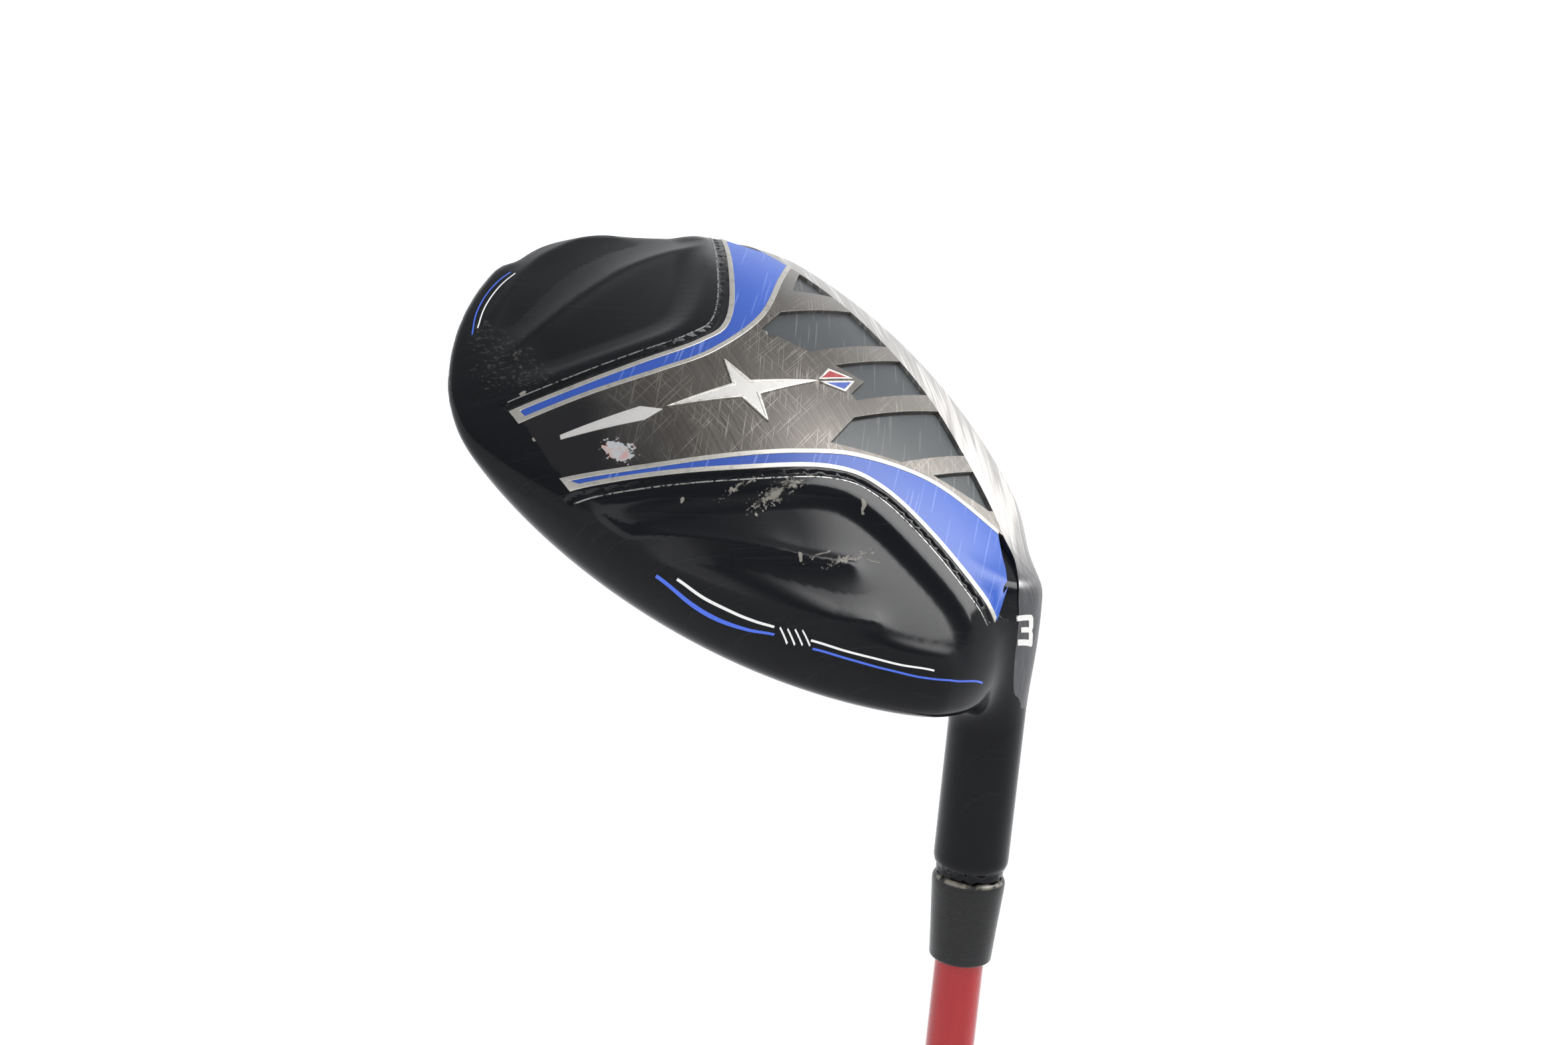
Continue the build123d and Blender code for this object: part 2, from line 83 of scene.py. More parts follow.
# Edge roundings of the casting, in millimetres.
SKIRT_EDGE = 2.6
CROWN_EDGE = 3.0
LEADING_EDGE = 2.0
HOSEL_END_EDGE = 2.4
NECK_FILLET = 6.0
NECK_FRONT_FILLET = 7.5
LIP_REACH = 30.0

CELL = 0.8
POCKET = 1.3
CUP_WALL = 1.3
BODY_WALL = 0.8
CROWN_RIM = 3.2
SEAM_LEAN = 0.28

# Artwork lines of the sole, each from the back of the head to the front.
HEEL_INNER = [(-3.0, -66.5), (-7.3, -51.8), (-11.5, -30.0), (-14.2, -19.5), (-20.6, -7.4), (-30.3, 1.3),
    (-33.5, 4.0)]
HEEL_OUTER = [(-5.9, -66.0), (-12.5, -43.0), (-16.4, -26.6), (-21.4, -19.6), (-32.0, -14.2), (-47.5, -8.8)]
TOE_INNER = [(11.2, -67.4), (11.4, -57.5), (12.0, -44.0), (14.4, -32.5), (22.6, -18.5), (37.5, -4.0),
    (48.0, 6.5)]
TOE_OUTER = [(14.5, -67.6), (14.7, -57.8), (15.8, -46.0), (18.0, -34.0), (23.4, -25.6), (43.1, -13.1),
    (58.0, -4.5)]
SEAM_LINE = [
    (-66.0, 8.0), (-58.0, 6.0), (-54.5, 4.4), (-53.6, 1.3), (-51.0, -1.5), (-48.0, -2.4), (-45.1, -2.9),
    (-42.6, -2.0), (-36.8, 1.4), (-30.5, 2.6),
    (-26.3, 3.4), (-13.3, 4.8), (2.3, 6.6), (17.2, 6.8), (34.0, 5.8), (48.0, 3.2), (66.0, -2.0),
]
STRIPE_ENDS = [
    (-66.0, -12.5), (-58.0, -10.0), (-49.5, -7.9), (-44.5, -5.0), (-37.0, -1.4), (-30.5, 1.8),
    (-26.3, 3.4), (-13.3, 4.8), (2.3, 6.6), (17.2, 6.8), (34.0, 5.8), (48.0, 3.2), (66.0, -2.0),
]
WINDOWS = {
    "window_enamel_toe": [(42.3, 3.6), (33.1, -4.9), (33.6, 9.0), (44.5, 9.0)],
    "window_enamel_toe_middle": [(19.1, -21.1), (24.6, -13.4), (28.6, 9.0), (16.6, 9.0), (11.9, -15.0)],
    "window_enamel_middle": [(8.1, -11.7), (12.2, 9.0), (2.2, 9.0), (-1.6, -12.9), (0.3, -13.0), (3.6, -8.0)],
    "window_enamel_heel_middle": [(-10.9, -23.9), (-5.6, -15.9), (-2.2, 9.0), (-13.4, 9.0), (-16.4, -12.1)],
    "window_enamel_heel": [(-19.3, -6.7), (-17.0, 9.0), (-26.0, 9.0), (-26.7, 2.3)],
}
HEEL_RIDGES = [
    [(-17.0, -62.0), (-19.2, -57.5), (-21.4, -53.6), (-24.5, -48.1), (-27.6, -42.7), (-30.7, -38.0),
        (-34.0, -31.0)],
    [(-22.5, -61.5), (-26.0, -58.2), (-30.0, -53.6), (-35.8, -45.8), (-40.0, -40.0), (-42.4, -36.5),
        (-44.3, -31.4)],
]
TOE_RIDGES = [
    [(27.5, -63.0), (30.2, -58.9), (33.1, -53.9), (37.3, -46.9), (41.0, -40.2), (44.4, -34.0),
        (47.3, -27.3), (50.8, -18.1), (53.0, -10.0)],
    [(35.0, -65.0), (39.0, -61.9), (42.3, -58.1), (47.3, -53.1), (51.5, -49.0), (55.2, -44.0),
        (59.0, -36.0), (62.0, -28.0)],
]
HEEL_FIELD = [
    (-10.5, -64.5), (-15.2, -45.0), (-19.0, -29.5), (-24.0, -23.2), (-34.5, -18.0), (-46.0, -14.0),
    (-54.5, -16.0), (-53.0, -25.0), (-48.5, -34.5), (-44.5, -41.5), (-38.0, -48.8), (-30.0, -56.5),
        (-20.0, -63.0),
]
TOE_FIELD = [
    (18.0, -66.0), (18.4, -56.0), (19.4, -45.0), (21.6, -35.5), (26.2, -29.2), (34.6, -22.4), (45.5, -16.0),
    (56.0, -9.5), (72.0, -12.0), (72.0, -45.0), (54.0, -53.5), (46.0, -60.0), (38.0, -65.0), (28.0, -68.5),
]
STAR_MIDDLE = (3.6, -32.6)
ACCENT_MIDDLE = (3.6, -14.2)
DART = [(3.4, -47.8), (5.3, -50.6), (5.2, -63.4), (4.4, -63.6), (2.3, -51.2)]
NUMBER_MIDDLE = (-48.2, -1.2)
NUMBER_UP = (0.524, -0.119)
NUMBER_RIGHT = (0.037, 1.07)


# --- Shape rules of the head ---

def to_row(points):
    """Move points of the address plane into the row frame."""
    return (ADDRESS_ORIGIN + points @ TURN.T) * MM


def smooth_most(first, second, reach):
    """Return the larger of two fields, blended where they are close."""
    close = np.maximum(reach - np.abs(first - second), 0.0)
    return np.maximum(first, second) + close ** 2 / (4.0 * reach)


def bowl_height(x, y):
    """Return the height of the plain cambered sole."""
    rise = SOLE_DEEP - np.sqrt(np.maximum(SOLE_DEEP ** 2 - (y - SOLE_LOW_Y) ** 2, 1.0))
    return SOLE_LONG - np.sqrt(np.maximum((SOLE_LONG - rise) ** 2 - x ** 2, 1.0))


def dome_height(x, y):
    """Return the height of the crown."""
    drop = CROWN_DEEP - np.sqrt(np.maximum(CROWN_DEEP ** 2 - (y - CROWN_TOP) ** 2, 1.0))
    return CROWN_HEIGHT - CROWN_LONG + np.sqrt(np.maximum((CROWN_LONG - drop) ** 2 - (x - CROWN_TOP) ** 2,
        1.0))


def plan_field(x, y, z):
    """Return how far a point lies outside the plan outline at its height."""
    inset = np.minimum((z - SKIRT_HEIGHT) ** 2 / SKIRT_ROUND, 30.0)
    across = x - PLAN_MIDDLE[0]
    along = y - PLAN_MIDDLE[1]
    front = along > 0
    toe = across > 0
    reach_x = np.where(toe, TOE_REACH, HEEL_REACH) - inset
    reach_y = np.where(front, FRONT_REACH, BACK_REACH - inset)
    power = np.where(front, np.where(toe, 2.6, 2.0), np.where(toe, 2.9, 1.5))
    share = (np.abs(across) / reach_x) ** power + (np.abs(along) / reach_y) ** power
    gauge = np.maximum(share, 1e-6) ** (1.0 / power)
    spread = np.sqrt(across ** 2 + along ** 2)
    return (gauge - 1.0) * spread / np.maximum(gauge, 0.3)


def face_field(x, y, z):
    """Return how far a point lies in front of the lofted face."""
    away = (x - FACE_MIDDLE[0]) ** 2 + (y - FACE_MIDDLE[1]) ** 2 + (z - FACE_MIDDLE[2]) ** 2
    return np.sqrt(away) - FACE_RADIUS


def shaft_place(x, y, z):
    """Return the distance up the shaft axis and away from it."""
    across = x + SHAFT_TO_MIDDLE
    along = -across * cos(LIE) + z * sin(LIE)
    away = np.sqrt((across + along * cos(LIE)) ** 2 + y ** 2 + (z - along * sin(LIE)) ** 2)
    return along, away


def hosel_field(x, y, z):
    """Return how far a point lies outside the hosel."""
    along, away = shaft_place(x, y, z)
    sleeve = smooth_most(away - HOSEL_RADIUS, along - HOSEL_REACH, HOSEL_END_EDGE)
    collar = np.maximum(away - COLLAR_RADIUS, along - COLLAR_REACH)
    return smooth_most(np.minimum(sleeve, collar), HOSEL_ROOT - along, 3.0)


def line_distance(x, y, line):
    """Return the distance from points of the plan to a line of points."""
    best = np.full(np.shape(x), 1e9)
    for start, end in zip(line[:-1], line[1:]):
        run = (end[0] - start[0], end[1] - start[1])
        share = ((x - start[0]) * run[0] + (y - start[1]) * run[1]) / (run[0] ** 2 + run[1] ** 2 + 1e-12)
        share = np.clip(share, 0.0, 1.0)
        gap = np.hypot(x - start[0] - share * run[0], y - start[1] - share * run[1])
        best = np.minimum(best, gap)
    return best


def inside(x, y, outline):
    """Tell which points of the plan lie inside an outline."""
    within = np.zeros(np.shape(x), bool)
    for start, end in zip(outline, list(outline[1:]) + [outline[0]]):
        if start[1] == end[1]:
            continue
        spans = (start[1] > y) != (end[1] > y)
        reach = start[0] + (y - start[1]) * (end[0] - start[0]) / (end[1] - start[1])
        within ^= spans & (x < reach)
    return within


def depth_inside(x, y, outline):
    """Return how deep points lie inside an outline, negative outside."""
    gap = line_distance(x, y, list(outline) + [outline[0]])
    return np.where(inside(x, y, outline), gap, -gap)


def ease(value, low, high):
    """Rise smoothly from 0 to 1 between two values."""
    share = np.clip((value - low) / (high - low), 0.0, 1.0)
    return share * share * (3.0 - 2.0 * share)


def smooth_line(points, step=0.6):
    """Return a smooth line through points, in even steps."""
    points = np.array(points, float)
    ends = np.vstack([2 * points[0] - points[1], points, 2 * points[-1] - points[-2]])
    fine = []
    for index in range(len(points) - 1):
        a, b, c, d = ends[index:index + 4]
        for t in np.linspace(0.0, 1.0, 24, endpoint=False):
            fine.append(0.5 * (2 * b + (c - a) * t + (2 * a - 5 * b + 4 * c - d) * t ** 2 + (3 * b - a - 3 * c + d) * t ** 3))
    fine = np.array(fine + [points[-1]])
    length = np.concatenate([[0.0], np.cumsum(np.hypot(*np.diff(fine, axis=0).T))])
    places = np.linspace(0.0, length[-1], max(int(length[-1] / step), 2) + 1)
    return np.column_stack([np.interp(places, length, fine[:, 0]), np.interp(places, length, fine[:, 1])])


def straight_line(points, step=0.6):
    """Return a line with straight runs, in short steps, corners kept."""
    made = []
    for start, end in zip(points[:-1], points[1:]):
        start, end = np.array(start, float), np.array(end, float)
        count = max(int(np.hypot(*(end - start)) / step), 1)
        made += [start + (end - start) * share / count for share in range(count)]
    return np.array(made + [np.array(points[-1], float)])


def beside(line, distance):
    """Return a line at a distance to the left of another."""
    way = np.gradient(line, axis=0)
    way /= np.maximum(np.hypot(*way.T), 1e-9)[:, None]
    return line + np.column_stack([-way[:, 1], way[:, 0]]) * distance


heel_inner = smooth_line(HEEL_INNER)
heel_outer = smooth_line(HEEL_OUTER)
toe_inner = smooth_line(TOE_INNER)
toe_outer = smooth_line(TOE_OUTER)
seam_line = smooth_line(SEAM_LINE, 1.0)
stripe_ends = smooth_line(STRIPE_ENDS, 1.0)
heel_ridges = [smooth_line(ridge, 2.0) for ridge in HEEL_RIDGES]
toe_ridges = [smooth_line(ridge, 2.0) for ridge in TOE_RIDGES]
heel_field = smooth_line(HEEL_FIELD + [HEEL_FIELD[0]], 2.5)[:-1]
toe_field = smooth_line(TOE_FIELD + [TOE_FIELD[0]], 2.5)[:-1]
pocket_outline = np.vstack([heel_outer[::2], [(-52.0, 14.0), (60.0, 14.0)], toe_outer[::-2]])


def scoops(x, y):
    """Return how far the fluted fields lie under the plain sole."""
    heel_gap = np.minimum(line_distance(x, y, heel_ridges[0]), line_distance(x, y, heel_ridges[1]))
    heel_cut = 1.0 - np.exp(-np.sqrt(heel_gap ** 2 + 0.12) / 1.9)
    heel_in = depth_inside(x, y, heel_field)
    heel = 1.9 * ease(heel_in, 0.0,
        4.5) * (0.25 + 0.75 * heel_cut * ease(-y, 16.0, 40.0) + 0.35 * ease(y, -36.0, -20.0))
    toe_gap = np.minimum(line_distance(x, y, toe_ridges[0]), line_distance(x, y, toe_ridges[1]))
    toe_cut = 1.0 - np.exp(-np.sqrt(toe_gap ** 2 + 0.5) / 3.6)
    toe_in = depth_inside(x, y, toe_field)
    toe = 2.1 * ease(toe_in, 0.0, 6.0) * (0.08 + 0.92 * toe_cut) * (1.0 - 0.85 * ease(-y, 56.0, 66.0))
    return heel + toe


def groove(x, y):
    """Return the narrow groove that runs outside each stripe."""
    gap = np.minimum(line_distance(x, y, beside(heel_outer, 1.25)[::2]),
        line_distance(x, y, beside(toe_outer, -1.25)[::2]))
    return 0.35 * np.exp(-(gap / 0.45) ** 2)


def head_field(x, y, z, pocket=0.0):
    """Return how far a point lies outside the finished head."""
    height = bowl_height(x, y) + scoops(x, y)
    if pocket:
        height = height + groove(x, y) + pocket * ease(depth_inside(x, y, pocket_outline), 0.2, 0.8)
    return solid_field(x, y, z, height)


def solid_field(x, y, z, height):
    """Return the head's field over a given sole height."""
    lean = 1.0 / np.sqrt(1.0 + (x / SOLE_LONG) ** 2 + ((y - SOLE_LOW_Y) / SOLE_DEEP) ** 2)
    field = smooth_most((height - z) * lean, plan_field(x, y, z), SKIRT_EDGE)
    field = smooth_most(field, (z - dome_height(x, y)) * lean, CROWN_EDGE)
    field = smooth_most(field, face_field(x, y, z), LEADING_EDGE)
    neck = NECK_FILLET + (NECK_FRONT_FILLET - NECK_FILLET) * ease(y, -7.0, 2.0)
    return -smooth_most(-field, -hosel_field(x, y, z), neck)


def cup_side(x, y, z):
    """Return a number that is positive in the face cup."""
    seam = np.interp(x, seam_line[:, 0], seam_line[:, 1])
    lean = SEAM_LEAN * np.maximum(z - bowl_height(x, y), 0.0)
    along, away = shaft_place(x, y, z)
    return np.minimum(y - seam + lean, LIP_REACH - along)


def crown_side(x, y, z):
    """Return a number that is positive in the crown plate."""
    over = z - dome_height(x, y) + 1.2
    rim = -plan_field(x, y, z) - CROWN_RIM
    along, away = shaft_place(x, y, z)
    return np.minimum(np.minimum(over, rim), away - HOSEL_RADIUS - 3.5)


# --- Mesh tools ---

def slope_of(field, points):
    """Return the gradient of a field at points."""
    step = 0.02
    parts = []
    for axis in range(3):
        shift = np.zeros(3)
        shift[axis] = step
        parts.append((field(*(points + shift).T) - field(*(points - shift).T)) / (2 * step))
    return np.column_stack(parts)


def unit(rows):
    """Return rows of vectors at length one."""
    return rows / np.maximum(np.linalg.norm(rows, axis=1), 1e-9)[:, None]


def settle(field, points, rounds=3):
    """Draw points onto the surface where the field is zero."""
    for _ in range(rounds):
        slope = slope_of(field, points)
        move = slope * (field(*points.T) / np.maximum((slope ** 2).sum(1), 0.05))[:, None]
        length = np.maximum(np.linalg.norm(move, axis=1), 1e-9)
        points = points - move * np.minimum(1.0, 0.5 * CELL / length)[:, None]
    return points


def net(value, low, step):
    """Return the points and triangles of the zero surface of a grid of values."""
    within = value < 0
    shape = tuple(size - 1 for size in value.shape)
    total = np.zeros(shape + (3,))
    count = np.zeros(shape)
    for axis in range(3):
        others = [other for other in range(3) if other != axis]
        for first in (0, 1):
            for second in (0, 1):
                offset = {axis: 0, others[0]: first, others[1]: second}
                near = tuple(slice(offset[k], offset[k] + shape[k]) for k in range(3))
                offset[axis] = 1
                far = tuple(slice(offset[k], offset[k] + shape[k]) for k in range(3))
                cross = within[near] != within[far]
                gap = value[near] - value[far]
                share = np.where(cross, value[near] / np.where(gap == 0, 1.0, gap), 0.0)
                total[..., axis] += share
                total[..., others[0]] += first * cross
                total[..., others[1]] += second * cross
                count += cross
    used = count > 0
    index = np.full(shape, -1)
    index[used] = np.arange(used.sum())
    points = np.array(low) + step * (np.argwhere(used) + total[used] / count[used][:, None])
    quads = []
    for axis in range(3):
        order = (axis, (axis + 1) % 3, (axis + 2) % 3)
        side = np.transpose(within, order)
        cells = np.transpose(index, order)
        change = side[:-1, 1:-1, 1:-1] != side[1:, 1:-1, 1:-1]
        i, j, k = np.nonzero(change)
        quad = np.column_stack([cells[i, j, k], cells[i, j + 1, k], cells[i, j + 1, k + 1],
            cells[i, j, k + 1]])
        flip = ~side[i, j + 1, k + 1]
        quad[flip] = quad[flip][:, ::-1]
        quads.append(quad)
    quads = np.vstack(quads)
    return points, np.vstack([quads[:, [0, 1, 2]], quads[:, [0, 2, 3]]])


def keep_side(points, triangles, side):
    """Cut triangles where side changes sign and keep the positive part."""
    side = np.where(np.abs(side) < 0.01, 0.01, side)
    up = side > 0
    number = up[triangles].sum(1)
    kept = [triangles[number == 3]]
    fresh_points = [points]
    crossing = triangles[(number == 1) | (number == 2)]
    sign = up[crossing]
    odd = np.where(sign.sum(1) == 1, np.argmax(sign, 1), np.argmin(sign, 1))
    rows = np.arange(len(crossing))
    a, b, c = (crossing[rows, (odd + turn) % 3] for turn in range(3))
    ends = np.vstack([np.column_stack([a, b]), np.column_stack([a, c])])
    edges, back = np.unique(np.sort(ends, axis=1), axis=0, return_inverse=True)
    back = back.ravel()
    share = (side[edges[:, 0]] / (side[edges[:, 0]] - side[edges[:, 1]]))[:, None]
    fresh_points.append(points[edges[:, 0]] + share * (points[edges[:, 1]] - points[edges[:, 0]]))
    p = len(points) + back[:len(a)]
    q = len(points) + back[len(a):]
    lone = up[a]
    kept.append(np.column_stack([a, p, q])[lone])
    kept.append(np.column_stack([p, b, c])[~lone])
    kept.append(np.column_stack([p, c, q])[~lone])
    merged = np.vstack(kept)
    points = np.vstack(fresh_points)
    used, packed = np.unique(merged, return_inverse=True)
    return points[used], packed.reshape(-1, 3)


def border(triangles):
    """Return the directed edges that only one triangle has."""
    edges = np.vstack([triangles[:, [0, 1]], triangles[:, [1, 2]], triangles[:, [2, 0]]])
    keys = edges.min(1).astype(np.int64) * (triangles.max() + 1) + edges.max(1)
    _, first, count = np.unique(keys, return_index=True, return_counts=True)
    return edges[first[count == 1]]


def write_mesh(name, points, faces, corner_normals, material):
    """Make an object from points and normals of the address plane."""
    mesh = bpy.data.meshes.new(name)
    mesh.from_pydata(to_row(points).tolist(), [], [list(face) for face in faces])
    mesh.polygons.foreach_set("use_smooth", np.ones(len(faces), bool))
    mesh.normals_split_custom_set((unit(corner_normals) @ TURN.T).tolist())
    return place(name, mesh, material)


def place(name, mesh, material):
    """Put a mesh in the scene as a piece that rides on the club."""
    piece = bpy.data.objects.new(name, mesh)
    bpy.context.scene.collection.objects.link(piece)
    mesh.materials.clear()
    mesh.materials.append(material)
    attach(piece, "root")
    return piece


def shell(name, points, triangles, field, wall, material):
    """Make a closed piece from a skin by giving it a wall."""
    normals = unit(slope_of(field, points))
    count = len(points)
    inner = points - normals * wall
    rim = border(triangles)
    faces = np.vstack([triangles, triangles[:, ::-1] + count])
    corners = np.vstack([normals[triangles].reshape(-1, 3), -normals[triangles[:, ::-1]].reshape(-1, 3)])
    walls = np.column_stack([rim[:, 1], rim[:, 0], rim[:, 0] + count, rim[:, 1] + count])
    way = points[rim[:, 1]] - points[rim[:, 0]]
    out = unit(np.cross(way, normals[rim[:, 0]]))
    faces = faces.tolist() + walls.tolist()
    corners = np.vstack([corners, np.repeat(out, 4, axis=0)])
    return write_mesh(name, np.vstack([points, inner]), faces, corners, material)


# --- Thin pieces that follow the sole ---

def sole_points(plan):
    """Return the points of the fluted sole under points of the plan."""
    x, y = plan[:, 0], plan[:, 1]
    height = bowl_height(x, y) + scoops(x, y)
    low = height - 1.0
    high = height + 16.0
    for rise in np.arange(16.0, 0.0, -0.4):
        high = np.where(solid_field(x, y, height + rise, height) < 0, height + rise, high)
    for _ in range(30):
        middle = (low + high) / 2
        outside = solid_field(x, y, middle, height) > 0
        low = np.where(outside, middle, low)
        high = np.where(outside, high, middle)
    return np.column_stack([x, y, (low + high) / 2])


def fill(lines, keep, spacing=1.6):
    """Return the plan points and triangles of a region bounded by lines."""
    corners = []
    edges = []
    for line in lines:
        start = len(corners)
        corners += [tuple(point) for point in line]
        edges += [(start + step, start + step + 1) for step in range(len(line) - 1)]
    every = np.array(corners)
    low, high = every.min(0), every.max(0)
    if spacing:
        grid_x, grid_y = np.meshgrid(np.arange(low[0], high[0], spacing), np.arange(low[1], high[1], spacing))
        grid_x, grid_y = grid_x.ravel(), grid_y.ravel()
        clear = keep(grid_x, grid_y)
        for line in lines:
            clear &= line_distance(grid_x, grid_y, line) > 0.35 * spacing
        corners += list(zip(grid_x[clear], grid_y[clear]))
    made = delaunay_2d_cdt([Vector(point) for point in corners], edges, [], 0, 1e-5)
    points = np.array([tuple(point) for point in made[0]])
    triangles = np.array([list(face) for face in made[2]])
    middle = points[triangles].mean(1)
    triangles = triangles[keep(middle[:, 0], middle[:, 1])]
    a, b, c = points[triangles[:, 0]], points[triangles[:, 1]], points[triangles[:, 2]]
    turn = (b[:, 0] - a[:, 0]) * (c[:, 1] - a[:, 1]) - (b[:, 1] - a[:, 1]) * (c[:, 0] - a[:, 0])
    triangles[turn < 0] = triangles[turn < 0][:, ::-1]
    triangles = triangles[np.abs(turn) > 1e-6]
    used, packed = np.unique(triangles, return_inverse=True)
    return points[used], packed.reshape(-1, 3)


def plate(name, lines, keep, proud, sink, material, edge=0.1, spacing=1.6):
    """Make a thin closed piece on the sole with a rounded edge."""
    plan, triangles = fill(lines, keep, spacing)
    ground = sole_points(plan)
    normals = unit(slope_of(head_field, ground))
    rim = border(triangles)
    out = np.zeros((len(plan), 2))
    way = plan[rim[:, 1]] - plan[rim[:, 0]]
    way /= np.maximum(np.hypot(*way.T), 1e-9)[:, None]
    right = np.column_stack([way[:, 1], -way[:, 0]])
    np.add.at(out, rim[:, 0], right)
    np.add.at(out, rim[:, 1], right)
    size = np.hypot(*out.T)
    out = out / np.maximum(size, 1e-9)[:, None] * np.clip(2.0 / np.maximum(size, 1e-9), 1.0, 1.6)[:, None]
    out = np.column_stack([out, np.zeros(len(out))])
    out -= normals * (out * normals).sum(1)[:, None]
    count = len(plan)
    top = ground + normals * proud
    round_one = ground + normals * (proud - edge) + out * edge
    round_two = ground - normals * sink + out * edge
    bottom = ground - normals * sink
    i, j = rim[:, 0], rim[:, 1]
    quads = np.vstack([
        np.column_stack([i, j, j + count, i + count]),
        np.column_stack([i, j, j + count, i + count]) + count,
        np.column_stack([i, j, j + count, i + count]) + 2 * count,
    ])
    side = unit(out + 1e-9)
    corners = np.vstack([
        normals[triangles[:, ::-1]].reshape(-1, 3),
        -normals[triangles].reshape(-1, 3),
        np.stack([normals[i], normals[j], side[j], side[i]], 1).reshape(-1, 3),
        np.stack([side[i], side[j], side[j], side[i]], 1).reshape(-1, 3),
        np.stack([-normals[i], -normals[j], -normals[j], -normals[i]], 1).reshape(-1, 3),
    ])
    faces = triangles[:, ::-1].tolist() + (triangles + 3 * count).tolist() + quads.tolist()
    points = np.vstack([top, round_one, round_two, bottom])
    used, packed = np.unique(np.concatenate([np.ravel(face) for face in faces]), return_inverse=True)
    sizes = [len(face) for face in faces]
    faces = np.split(packed.ravel(), np.cumsum(sizes)[:-1])
    return write_mesh(name, points[used], faces, corners, material)


def within(outline):
    """Return a test for points inside an outline."""
    return lambda x, y: inside(x, y, outline)


def strip(line, width):
    """Return the outline of a band along a line."""
    return np.vstack([beside(line, width / 2), beside(line, -width / 2)[::-1]])


def loop(outline):
    """Return an outline as a closed line."""
    return np.vstack([outline, outline[:1]])


# --- Finishes ---

def start_finish(name, **values):
    """Start a finish and set the shader's own values."""
    material = bpy.data.materials.new(name)
    material.use_nodes = True
    tree = material.node_tree
    shader = tree.nodes["Principled BSDF"]
    for socket, value in values.items():
        shader.inputs[socket.replace("_", " ")].default_value = value
    return material, tree, shader


def node(tree, kind, inputs=None, **settings):
    """Add a node, set its settings and fill or link its inputs."""
    made = tree.nodes.new(kind)
    for key, value in settings.items():
        setattr(made, key, value)
    for key, value in (inputs or {}).items():
        if isinstance(value, bpy.types.NodeSocket):
            tree.links.new(value, made.inputs[key])
        else:
            made.inputs[key].default_value = value
    return made


def maths(tree, operation, first, second=0.0):
    """Add a math node and return its value."""
    return node(tree, "ShaderNodeMath", {0: first, 1: second}, operation=operation).outputs[0]


def spread(tree, value, low, high, to_low=0.0, to_high=1.0):
    """Map a value smoothly from one span to another."""
    inputs = {"Value": value, "From Min": low, "From Max": high, "To Min": to_low, "To Max": to_high}
    return node(tree, "ShaderNodeMapRange", inputs, interpolation_type="SMOOTHSTEP").outputs["Result"]


def blend(tree, share, first, second):
    """Mix two colours."""
    return node(tree, "ShaderNodeMix", {0: share, 6: first, 7: second}, data_type="RGBA").outputs[2]


def head_place(tree):
    """Return a point of the piece in millimetres of the address plane."""
    turn = Matrix(TURN.T.tolist())
    shift = -(turn @ Vector(ADDRESS_ORIGIN))
    place_node = tree.nodes.new("ShaderNodeTexCoord")
    inputs = {"Vector": place_node.outputs["Object"], "Location": shift, "Rotation": turn.to_euler(),
        "Scale": (1 / MM,) * 3}
    return node(tree, "ShaderNodeMapping", inputs).outputs["Vector"]


def row_place(tree, scale=1 / MM):
    """Return a point of the piece in millimetres of the row frame."""
    place_node = tree.nodes.new("ShaderNodeTexCoord")
    return node(tree, "ShaderNodeMapping",
        {"Vector": place_node.outputs["Object"], "Scale": (scale,) * 3}).outputs["Vector"]


def noise(tree, place_socket, scale, detail=3.0, stretch=(1.0, 1.0, 1.0), turn=0.0, rough=0.55):
    """Return a noise value, stretched and turned in the plan."""
    moved = node(tree, "ShaderNodeMapping",
        {"Vector": place_socket, "Rotation": (0.0, 0.0, turn)}).outputs["Vector"]
    drawn = node(tree, "ShaderNodeMapping", {"Vector": moved, "Scale": stretch}).outputs["Vector"]
    inputs = {"Vector": drawn, "Scale": scale, "Detail": detail, "Roughness": rough}
    return node(tree, "ShaderNodeTexNoise", inputs).outputs[0]


def scratches(tree, place_socket, turn, amount=0.66, fine=2.2, length=0.05):
    """Return thin straight scratches that run one way."""
    streak = noise(tree, place_socket, 1.0, 2.0, (length, fine, length), turn, 0.015)
    return spread(tree, streak, amount, amount + 0.05)


def bump(tree, shader, height, strength, distance=0.0002):
    """Raise the surface by a height value."""
    made = node(tree, "ShaderNodeBump", {"Height": height, "Strength": strength, "Distance": distance})
    tree.links.new(made.outputs["Normal"], shader.inputs["Normal"])


def spots(tree, place_socket, marks, ragged):
    """Return a mask of ragged marks, each with a place, half sizes and a turn."""
    mask = None
    for x, y, long, short, turn in marks:
        inputs = {"Vector": place_socket, "Location": (x, y, 8.0), "Rotation": (0, 0, radians(turn)),
            "Scale": (long, short, 60.0)}
        local = node(tree, "ShaderNodeMapping", inputs, vector_type="TEXTURE").outputs["Vector"]
        away = node(tree, "ShaderNodeVectorMath", {0: local}, operation="LENGTH").outputs["Value"]
        edge = maths(tree, "ADD", away, ragged)
        spot = spread(tree, edge, 1.0, 0.86)
        mask = spot if mask is None else maths(tree, "MAXIMUM", mask, spot)
    return mask


def link(tree, value, shader, socket):
    """Link a value to one of the shader's sockets."""
    tree.links.new(value, shader.inputs[socket])


